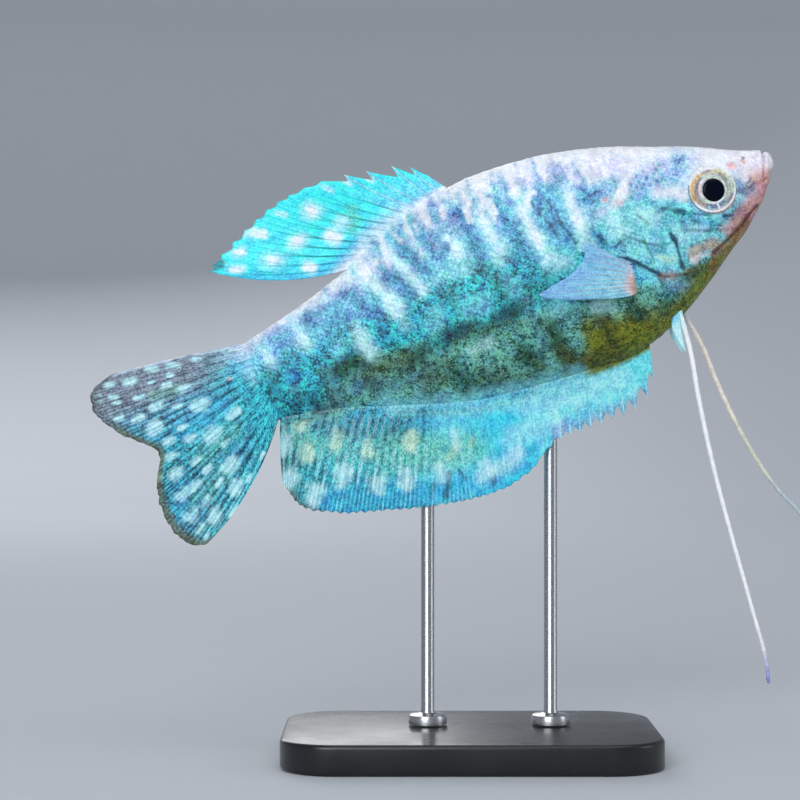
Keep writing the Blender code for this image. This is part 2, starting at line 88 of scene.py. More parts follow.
# Rear edge of the gill cover, as the camera sees it on the middle plane: height and station, downwards
COVER_LINE = (
    (30.0, 20.5), (13.0, 21.8), (4.1, 25.3), (0.6, 29.2), (-2.5, 30.9), (-4.3, 30.7), (-5.6, 28.6),
    (-7.4, 27.1), (-9.0, 25.9), (-10.6, 24.3), (-11.4, 22.2), (-11.9, 19.5), (-14.0, 15.0), (-30.0, 11.0),
)
COVER_LIFT, COVER_FADE = 0.45, 11.0
COVER_TOP, COVER_TOP_FADE = 3.6, 4.6
COVER_BOTTOM, COVER_BOTTOM_FADE = -14.0, 3.0

# Lines on the head, seen the same way: station and height
MOUTH_LINE = ((1.1, 1.9), (1.25, 1.1), (1.55, 0.3), (1.95, -0.8), (2.35, -1.8), (2.7, -2.6))
LIP_LINE = ((2.9, 3.4), (2.85, 2.2), (2.8, 1.0), (3.0, -0.2), (3.3, -1.2))
JAW_FOLD = ((4.6, -5.9), (6.0, -6.1), (7.8, -7.2), (9.6, -8.2), (11.6, -9.1), (13.6, -9.8), (16.0, -10.4))
JAW_FOLD_LOW = ((7.0, -7.2), (9.0, -8.4), (11.0, -9.5), (13.0, -10.5))
PREOPERCLE = ((20.6, -3.6), (20.2, -5.2), (20.2, -7.2), (20.5, -9.0), (20.8, -10.6))
CHEEK_BONE = ((14.0, -8.2), (16.0, -7.6), (18.2, -7.9), (19.4, -8.8))
NOSTRILS = (((6.75, 1.72), 0.5), ((4.6, 1.85), 0.26))
THROAT_FOLDS = (((9.5, -9.0), (13.0, -11.2), (17.0, -13.0)), ((12.0, -10.6), (16.0, -12.2), (20.0, -13.4)))

# Eyes: place of the ball's middle, and its turn towards the snout
EYE_STATION, EYE_HEIGHT, EYE_SIDE, EYE_TURN = 12.25, -0.7, 3.9, math.radians(10.0)
EYE_FLANGE = 4.1  # radius at which the eye's rim meets the skin
EYE_SEAT = 1.22  # height of the skin round the rim, above the eyeball's middle
PUPIL_SHIFT = (-0.1, -0.22)  # forwards and up, within the eye

# Fins, as in the CAD: roots and tips at shares of the way along the fin, with stations and heights.
# spine_notches and soft_notch say how deep the web's edge dips between rays, bulge how far the fin bows,
# gather and dive how its root draws together and sinks in, branches where and how widely its rays fork,
# columns how many strips of mesh a ray has, and line how wide a ray's dark line is in millimetres.
FINS = {
    "dorsal_fin": {
        "root": ((0.0, 51.8, 17.0), (0.4, 60.4, 14.9), (1.0, 72.4, 10.9)),
        "tips": (
            (0.0, 54.0, 20.4), (0.067, 56.0, 22.6), (0.133, 58.7, 23.9), (0.2, 63.0, 24.8),
            (0.267, 66.6, 25.6), (0.4, 73.6, 26.1), (0.533, 78.4, 25.7), (0.667, 83.0, 24.4),
            (0.8, 87.8, 22.4), (0.93, 92.3, 20.3), (1.0, 93.4, 19.5),
        ),
        "rays": 15, "spine_notches": (0.16, 0.32, 0.3, 0.22, 0.13), "lowest": 0.22,
        "soft_notch": (0.024, 1.4), "bulge": (0.0, -1.6), "gather": 0.0, "dive": 0.0,
        "branches": (0.5, 0.24, 0.9, 0.08), "columns": 20, "rows": 60, "root_half": 0.6, "wave": 0.45,
        "line": 0.15, "smooth_root": 0.1,
    },
    "anal_fin": {
        "root": (
            (0.0, 31.0, -20.5), (0.068, 36.8, -20.8), (0.227, 49.0, -19.6), (0.42, 62.0, -17.6),
            (0.55, 67.4, -15.8), (0.68, 73.4, -13.6), (0.8, 79.4, -11.3), (0.89, 84.7, -9.6),
            (1.0, 92.2, -7.9),
        ),
        "tips": (
            (0.0, 32.4, -25.9), (0.023, 34.5, -28.4), (0.045, 37.1, -29.3), (0.091, 41.3, -29.3),
            (0.159, 47.1, -29.1), (0.205, 50.5, -28.9), (0.227, 52.4, -29.3), (0.25, 54.2, -30.1),
            (0.272, 56.0, -31.3), (0.32, 59.7, -32.5), (0.42, 66.0, -32.6), (0.55, 74.1, -31.0),
            (0.68, 82.4, -28.4), (0.8, 89.4, -25.8), (0.89, 94.2, -22.8), (1.0, 95.9, -17.6),
        ),
        "rays": 44, "spine_notches": (0.46, 0.38, 0.28, 0.23, 0.2, 0.18, 0.16, 0.13, 0.1, 0.07),
        "lowest": 0.5, "soft_notch": (0.02, 1.4), "bulge": (0.0, 0.2), "gather": 0.0, "dive": 0.0,
        "branches": (0.55, 0.24, 2.0, 0.0), "columns": 10, "rows": 60, "root_half": 0.5, "wave": 0.5,
        "line": 0.2, "smooth_root": 0.55,
    },
    "caudal_fin": {
        "root": ((0.0, 92.4, 6.2), (1.0, 92.4, -7.5)),
        "tips": (
            (0.0, 115.2, 10.2), (0.08, 118.8, 9.1), (0.19, 120.1, 5.9), (0.34, 117.4, 0.3),
            (0.47, 112.9, -4.9), (0.58, 115.1, -9.2), (0.72, 116.2, -14.6), (0.84, 114.9, -19.8),
            (0.93, 111.6, -21.9), (1.0, 106.9, -19.9),
        ),
        "rays": 15, "spine_notches": (), "lowest": 0.5, "soft_notch": (0.006, 2.0), "bulge": (0.25, -0.95),
        "gather": 0.3, "dive": 0.0, "branches": (0.3, 0.25, 0.62, 0.12),
        "columns": 24, "rows": 84, "root_half": 1.35, "wave": 0.5, "line": 0.22, "smooth_root": 0.1,
    },
    "pectoral_fin": {
        "root": ((0.0, 29.0, -6.9), (1.0, 30.8, -11.6)),
        "tips": (
            (0.0, 35.2, -0.6), (0.2, 36.3, -3.0), (0.4, 39.2, -4.6), (0.62, 43.6, -5.3), (0.74, 45.6, -5.9),
            (0.86, 42.2, -7.9), (1.0, 36.3, -10.1),
        ),
        "rays": 10, "spine_notches": (), "lowest": 0.5, "soft_notch": (0.006, 2.0), "bulge": (0.3, -0.2),
        "gather": 0.3, "dive": 1.3, "branches": (0.5, 0.22, 2.0, 0.0),
        "columns": 12, "rows": 56, "root_half": 0.42, "wave": 0.3, "line": 0.16, "smooth_root": 0.05,
    },
    "pelvic_fin": {
        "root": ((0.0, 24.5, -16.9), (1.0, 26.1, -17.7)),
        "tips": ((0.0, 26.0, -23.9), (0.5, 26.4, -22.4), (1.0, 26.7, -20.6)),
        "rays": 3, "spine_notches": (), "lowest": 0.5, "soft_notch": (0.004, 1.0), "bulge": (0.2, 0.2),
        "gather": 0.2, "dive": 0.6, "branches": (0.5, 0.2, 2.0, 0.0),
        "columns": 8, "rows": 40, "root_half": 0.36, "wave": 0.0, "line": 0.12, "smooth_root": 0.05,
    },
}
FIN_ROOT_DEPTH = 1.6
RAY_WIDTH, SPINE_WIDTH = 0.13, 0.2  # half widths of the ridges
PECTORAL_SWING = math.radians(24.0)
PELVIC_SIDE = 2.3

# Feelers: station, height and distance out, as in the CAD
RIGHT_FEELER = (
    (24.2, -15.8, 2.0), (24.5, -18.0, 2.3), (25.2, -22.9, 2.7), (27.2, -31.4, 3.2), (29.6, -43.4, 4.1),
    (31.3, -54.4, 5.0), (32.9, -66.0, 5.8), (34.5, -76.1, 6.3), (35.3, -78.6, 6.4),
)
LEFT_FEELER = (
    (24.0, -15.8, 2.0), (23.1, -19.5, 2.4), (22.6, -22.7, 2.9), (22.4, -31.7, 4.4), (21.6, -41.3, 6.2),
    (19.5, -51.5, 8.0), (17.4, -56.9, 8.8), (14.6, -66.8, 10.0), (12.4, -77.0, 10.8),
)
FEELER_RADII = (0.42, 0.30)

# Stand, in the row's frame
BASE_SIZE, BASE_CORNER, BASE_ROUNDING = (62.0, 40.0, 5.0), 9.0, 0.7
ROD_RADIUS = 1.1
ROD_FOOT = ((3.2, 5.3), (3.2, 6.4), (3.05, 6.75), (2.7, 6.9), (1.75, 6.95), (1.3, 7.15))
ROD_START = 7.6  # height at which the turned foot has become the plain rod
ROD_PLACES = {"stand_rod_rear": (-7.0, 2.2, 69.0), "stand_rod_front": (13.5, 2.2, 73.0)}

# Scales, in fields of plates: a plate's length, the distances between columns and rows, and its rise
BODY_SCALE = {"length": 2.3, "column": 0.78, "row": 1.38, "lift": 0.13}
HEAD_SCALE = {"length": 1.75, "column": 0.62, "row": 1.08, "lift": 0.09}
SCALE_ALONG, SCALE_ACROSS = 6, 5  # quads of a plate's face
UNWRAPPED_SCALE = 0.003  # a plate's side on the unwrap, as a share of the whole


def curve_through(xs, ys, x):
    """The height at x of a smooth curve through the points (xs, ys), with xs rising."""
    xs, ys, x = np.asarray(xs, float), np.asarray(ys, float), np.asarray(x, float)
    steps = np.diff(xs)
    slopes = np.diff(ys) / steps
    middle = (slopes[:-1] * steps[1:] + slopes[1:] * steps[:-1]) / (steps[:-1] + steps[1:])
    tangents = np.concatenate([slopes[:1], middle, slopes[-1:]])
    i = np.clip(np.searchsorted(xs, x, side="right") - 1, 0, len(steps) - 1)
    t = (x - xs[i]) / steps[i]
    return (
        ys[i] * (1 + 2 * t) * (1 - t) ** 2
        + ys[i + 1] * t**2 * (3 - 2 * t)
        + steps[i] * t * (1 - t) * (tangents[i] * (1 - t) - tangents[i + 1] * t)
    )


def smooth_step(low, high, value):
    t = np.clip((value - low) / (high - low), 0.0, 1.0)
    return t * t * (3 - 2 * t)


def line_station(line, height):
    """The station of a line that crosses the flank at a height. The line's points run downwards."""
    heights, stations = zip(*reversed(line))
    return curve_through(heights, stations, height)


RANDOM_VALUES = np.random.default_rng(11).uniform(-1, 1, 4096)


def patchy(s, z, size, seed=0):
    """Smooth values from -1 to 1 that change over about size millimetres of the side view."""
    places = np.stack([s, z], axis=1) / size + 500.0 + 17.3 * seed
    cell = np.floor(places).astype(np.int64)
    part = places - cell
    part = part * part * (3 - 2 * part)
    total = np.zeros(len(places))
    for right in (0, 1):
        for up in (0, 1):
            spot = ((cell[:, 0] + right) * 7919 + (cell[:, 1] + up) * 104729 + seed * 613) % 4096
            share = np.abs(1 - right - part[:, 0]) * np.abs(1 - up - part[:, 1])
            total += RANDOM_VALUES[spot] * share
    return total


def distance_to(route, s, z):
    """Distance from points of the side view to a route of straight stretches, or to a single point."""
    if len(route) == 1:
        return np.hypot(s - route[0][0], z - route[0][1])
    nearest = np.full(len(s), np.inf)
    for (s0, z0), (s1, z1) in zip(route, route[1:]):
        ds, dz = s1 - s0, z1 - z0
        t = np.clip(((s - s0) * ds + (z - z0) * dz) / (ds * ds + dz * dz), 0, 1)
        nearest = np.minimum(nearest, np.hypot(s - s0 - t * ds, z - z0 - t * dz))
    return nearest


def fish_frame(x, z):
    """A place of the row's frame, in the fish's frame, as station and height."""
    dx, dz = x - SNOUT_X, z - SNOUT_Z
    return -(dx * math.cos(PITCH) + dz * math.sin(PITCH)), -dx * math.sin(PITCH) + dz * math.cos(PITCH)


CAMERA_STATION, CAMERA_HEIGHT = fish_frame(CAMERA_PLACE[0], CAMERA_PLACE[2])


def seen_from_side(points):
    """Where the camera sees points of the fish's right side against its middle plane, as station and height.

    The left side mirrors the right, so that both carry the same markings.
    """
    distance = -CAMERA_PLACE[1]
    scale = distance / (distance - np.abs(points[:, 1]))
    s = CAMERA_STATION + (-points[:, 0] - CAMERA_STATION) * scale
    z = CAMERA_HEIGHT + (points[:, 2] - CAMERA_HEIGHT) * scale
    return s, z


def to_row(points):
    """Points of the fish's frame in the row's frame, in metres."""
    x = SNOUT_X + points[:, 0] * math.cos(PITCH) - points[:, 2] * math.sin(PITCH)
    z = SNOUT_Z + points[:, 0] * math.sin(PITCH) + points[:, 2] * math.cos(PITCH)
    return np.stack([x, points[:, 1], z], axis=1) * MM


def body_section(s):
    stations, *columns = zip(*BODY)
    return [curve_through(stations, column, s) for column in columns]


def body_points(s, angle, grow=0.0):
    """Points of the body's smooth surface. Angle 0 is the ridge of the back and pi the keel."""
    back, belly, width, level, back_edge, belly_edge = body_section(s)
    from_snout = np.clip(s / SNOUT_CAP, 0, 1)
    from_tail = np.clip((BODY_LENGTH - s) / TAIL_CAP, 0, 1)
    cap = np.sqrt(1 - (1 - from_snout) ** 2) * np.sqrt(1 - (1 - from_tail) ** 2)
    up, out = np.cos(angle), np.sin(angle)
    reach = np.where(up > 0, back - level, level - belly) + grow
    height = level + reach * up * cap
    sharpness = np.where(up > 0, back_edge, belly_edge)
    side = np.sign(out) * (width + grow) * np.abs(out) ** sharpness * cap
    x = -s + np.where(s < BODY_LENGTH / 2, grow, -grow) * (1 - cap)
    return np.stack([x, side, height], axis=1)


def body_normals(s, angle):
    """Outward directions of the body's smooth surface."""
    step = 0.02
    inner = np.clip(s, 0.25, BODY_LENGTH - 0.25)
    along = body_points(inner + step, angle) - body_points(inner - step, angle)
    around = body_points(inner, angle + step) - body_points(inner, angle - step)
    normal = np.cross(around, along)
    normal /= np.maximum(np.linalg.norm(normal, axis=1), 1e-9)[:, None]
    outward = np.stack([np.zeros(len(s)), np.sin(angle), np.cos(angle)], axis=1)
    normal *= np.where(np.sum(normal * outward, axis=1) < 0, -1, 1)[:, None]
    for end, way in ((0.0, 1.0), (BODY_LENGTH, -1.0)):
        near = smooth_step(0.6, 0.0, np.abs(s - end))[:, None]
        normal = normal * (1 - near) + np.array([[way, 0, 0]]) * near
    return normal / np.linalg.norm(normal, axis=1)[:, None]


def groove(route, width, depth, s, z):
    return -depth * np.exp(-((distance_to(route, s, z) / width) ** 2))


def cover_lift(s, z):
    """How far the gill cover stands out of the flank: it ends in a step along the cover line."""
    ahead = line_station(COVER_LINE, z) - s
    along = smooth_step(COVER_FADE, 0.0, ahead) * smooth_step(-0.3, 0.05, ahead)
    gap = -0.14 * np.exp(-(((ahead + 0.45) / 0.3) ** 2))
    below_top = smooth_step(COVER_TOP, COVER_TOP - COVER_TOP_FADE, z)
    above_bottom = smooth_step(COVER_BOTTOM, COVER_BOTTOM + COVER_BOTTOM_FADE, z)
    return (COVER_LIFT * along + gap) * below_top * above_bottom


def skin_relief(s, z, out):
    """How far the skin stands out of the smooth body, at a place of the side view. out is 1 on the flanks."""
    relief = cover_lift(s, z) * smooth_step(0.0, 0.5, out)
    relief += groove(MOUTH_LINE, 0.16, 0.42, s, z)
    relief += 0.16 * np.exp(-(((distance_to(MOUTH_LINE, s, z) - 0.5) / 0.3) ** 2))
    relief += groove(LIP_LINE, 0.16, 0.05, s, z)
    relief += groove(JAW_FOLD, 0.22, 0.24, s, z) * out + groove(JAW_FOLD_LOW, 0.16, 0.12, s, z) * out
    relief += 0.12 * np.exp(-(((distance_to(JAW_FOLD, s, z) - 0.55) / 0.3) ** 2)) * out
    relief += groove(PREOPERCLE, 0.22, 0.22, s, z) * out + groove(CHEEK_BONE, 0.4, 0.1, s, z) * out
    for fold in THROAT_FOLDS:
        relief += groove(fold, 0.2, 0.1, s, z) * out
    for (nostril_s, nostril_z), radius in NOSTRILS:
        away = np.hypot(s - nostril_s, (z - nostril_z) * 0.85)
        relief += -0.4 * smooth_step(radius, radius * 0.5, away)
        relief += 0.12 * np.exp(-(((away - radius * 1.25) / (radius * 0.4)) ** 2))
    snout = np.exp(-(((s - 1.9) / 0.55) ** 2)) * smooth_step(1.2, 2.2, z)
    notch = np.exp(-(((s - 1.12) / 0.17) ** 2)) * smooth_step(0.6, 1.4, z)
    lower_lip = np.exp(-(((s - 0.45) / 0.35) ** 2)) * smooth_step(0.2, 1.0, z)
    relief += 0.2 * snout - 0.34 * notch + 0.1 * lower_lip
    relief += 0.03 * patchy(s, z, 1.6, 3) + 0.015 * patchy(s, z, 0.6, 4)
    return relief


def eye_frame(side):
    """The eye's centre and its own axes as rows: forwards, up and outwards."""
    centre = np.array([-EYE_STATION, side * EYE_SIDE, EYE_HEIGHT])
    outwards = np.array([math.sin(EYE_TURN), side * math.cos(EYE_TURN), 0.0])
    forwards = np.array([math.cos(EYE_TURN), -side * math.sin(EYE_TURN), 0.0])
    return centre, np.stack([forwards, [0.0, 0.0, 1.0], outwards])


def seat_for_eyes(points):
    """Draws the skin up to each eye's rim, and down into a socket under the eyeball."""
    for side in (-1, 1):
        centre, axes = eye_frame(side)
        local = (points - centre) @ axes.T
        away = np.hypot(local[:, 0], local[:, 1])
        facing = points[:, 1] * side > 0.5
        rim = smooth_step(6.4, EYE_FLANGE + 0.05, away) * facing
        local[:, 2] += (EYE_SEAT - local[:, 2]) * rim * 0.9
        sunk = smooth_step(EYE_FLANGE - 0.12, EYE_FLANGE - 0.55, away) * facing
        local[:, 2] -= 1.6 * sunk
        points = centre + local @ axes
    return points


def flesh_points(s, angle, lift=0.0):
    """Points of the skin with all its relief, or lift millimetres over it, in the fish's frame."""
    smooth = body_points(s, angle, -COAT_DEPTH)
    seen = seen_from_side(smooth)
    height = skin_relief(*seen, np.abs(np.sin(angle))) + lift
    return seat_for_eyes(smooth + body_normals(s, angle) * height[:, None])


# Paints: the light colour, the colour of the dark grain in it, and how many yellow flecks lie over it
PAINTS = {
    "snow": ("#FFFFFF", "#E0E8FA", 0.0),
    "shell": ("#FBF6FA", "#E2DCEE", 0.0),
    "lilac": ("#E6E8FC", "#B0BEEC", 0.0),
    "mauve": ("#A79AD0", "#665CA0", 0.0),
    "periwinkle": ("#94C4F0", "#3A80C8", 0.0),
    "ice": ("#DEFEFF", "#A2E6F8", 0.0),
    "sky": ("#88DAFA", "#2E90D2", 0.0),
    "royal": ("#3E9ED8", "#044A88", 0.0),
    "turquoise": ("#42E0F2", "#004C72", 0.25),
    "lagoon": ("#34BCE6", "#00305A", 0.2),
    "teal": ("#34AAB2", "#002C34", 0.5),
    "night": ("#14566E", "#001C30", 0.2),
    "bottle": ("#245C48", "#001E16", 0.7),
    "sea": ("#7CD0C4", "#0E4E4C", 0.6),
    "slate": ("#5A8C9A", "#1C424A", 0.3),
    "umber": ("#5E846A", "#14301E", 0.6),
    "olive": ("#7C8E1E", "#304008", 0.25),
    "moss": ("#525E1C", "#121E04", 0.1),
    "bronze": ("#A8843A", "#70521C", 0.0),
    "aqua": ("#9AEAF6", "#5CB8D4", 0.0),
    "navy": ("#1B3C66", "#0A1A38", 0.0),
    "rose": ("#D8A49C", "#AC7C76", 0.0),
    "pink": ("#F4CCC6", "#E0A49C", 0.0),
    "brown": ("#7A4834", "#40200F", 0.0),
    "tan": ("#C9A888", "#94765A", 0.0),
    "cream": ("#DEF8D8", "#98D0BC", 0.2),
    "pearl": ("#D4FDFF", "#98E4F6", 0.0),
    "cyan": ("#44FFFF", "#20DCF0", 0.0),
    "azure": ("#38CCFA", "#108CC8", 0.0),
    "meadow": ("#7CDCB8", "#208074", 1.0),
    "deep_teal": ("#2890A4", "#003C52", 0.6),
    "bark": ("#586068", "#2C343C", 0.0),
    "weed": ("#6C6E48", "#44482C", 0.0),
    "ink": ("#0A3E62", "#001E34", 0.0),
    "violet": ("#8C9CDC", "#5C68B4", 0.0),
    "mint": ("#C8EAD4", "#96C0AC", 0.0),
    "gold": ("#F0BE62", "#C08A3C", 0.0),
    "straw": ("#E0DAB0", "#A09C7C", 0.0),
    "lead": ("#7C7E9A", "#484C6A", 0.0),
    "steel": ("#6E94B4", "#34506E", 0.0),
    "black": ("#020618", "#020618", 0.0),
    "glass": ("#90CCF2", "#74B0E0", 0.0),
    "sea_shell": ("#D8D8D4", "#9CA0A8", 0.0),
    "warm_white": ("#FFF4E6", "#E8DACA", 0.0),
    "frost": ("#E8F4FC", "#A8C4EA", 0.0),
    "cover": ("#9CE6F6", "#4C9EC4", 0.1),
    "smoke": ("#94A4B8", "#4C5C70", 0.0),
    "white": ("#FFFFFF", "#F2F4F8", 0.0),
    "dun": ("#E4E6D2", "#CED2BE", 0.0),
    "haze": ("#C4D0D8", "#AAB8C4", 0.0),
}

FLECK_COLOUR = "#A8EC84"

# Ground of the body: lines between its paints from the crest down, as station and height. The frost over the
# crest is the fish's pale back with a painted highlight of the light from above on it.
CREST_LINE = ((0, 1.5), (10, 5.0), (20, 8.0), (30, 12.2), (45, 14.6), (60, 12.6), (72, 9.6), (93, 6.2))
SHOULDER_LINE = (
    (0, -1.2), (8, -1.0), (15, 1.6), (20, 3.0), (30, 8.6), (45, 11.4), (60, 10.5), (72, 7.4), (93, 4.6),
)
FLANK_LINE = (
    (0, -2.0), (8, -2.4), (15, -0.6), (20, 0.8), (30, 2.0), (40, 0.6), (50, 3.2), (60, 3.2), (72, 3.0),
    (93, 1.0),
)
LOW_LINE = (
    (0, -9.5), (12, -9.0), (22, -10.8), (30, -10.0), (36, -9.0), (45, -7.6), (55, -7.2), (65, -5.4),
    (75, -4.6), (85, -7.2), (93, -9.0),
)
BELLY_LINE = (
    (0, -8.0), (8, -8.6), (15, -11.0), (22, -14.2), (30, -13.6), (38, -14.0), (45, -18.0), (55, -21.0),
    (93, -24.0),
)
# frost at the top is the pale back, lightened further by a painted highlight of the light from above
GROUND = (
    ("frost", None), ("lilac", CREST_LINE), ("sky", SHOULDER_LINE), ("turquoise", FLANK_LINE),
    ("sea", LOW_LINE), ("olive", BELLY_LINE),
)
GROUND_BLEND = 1.4

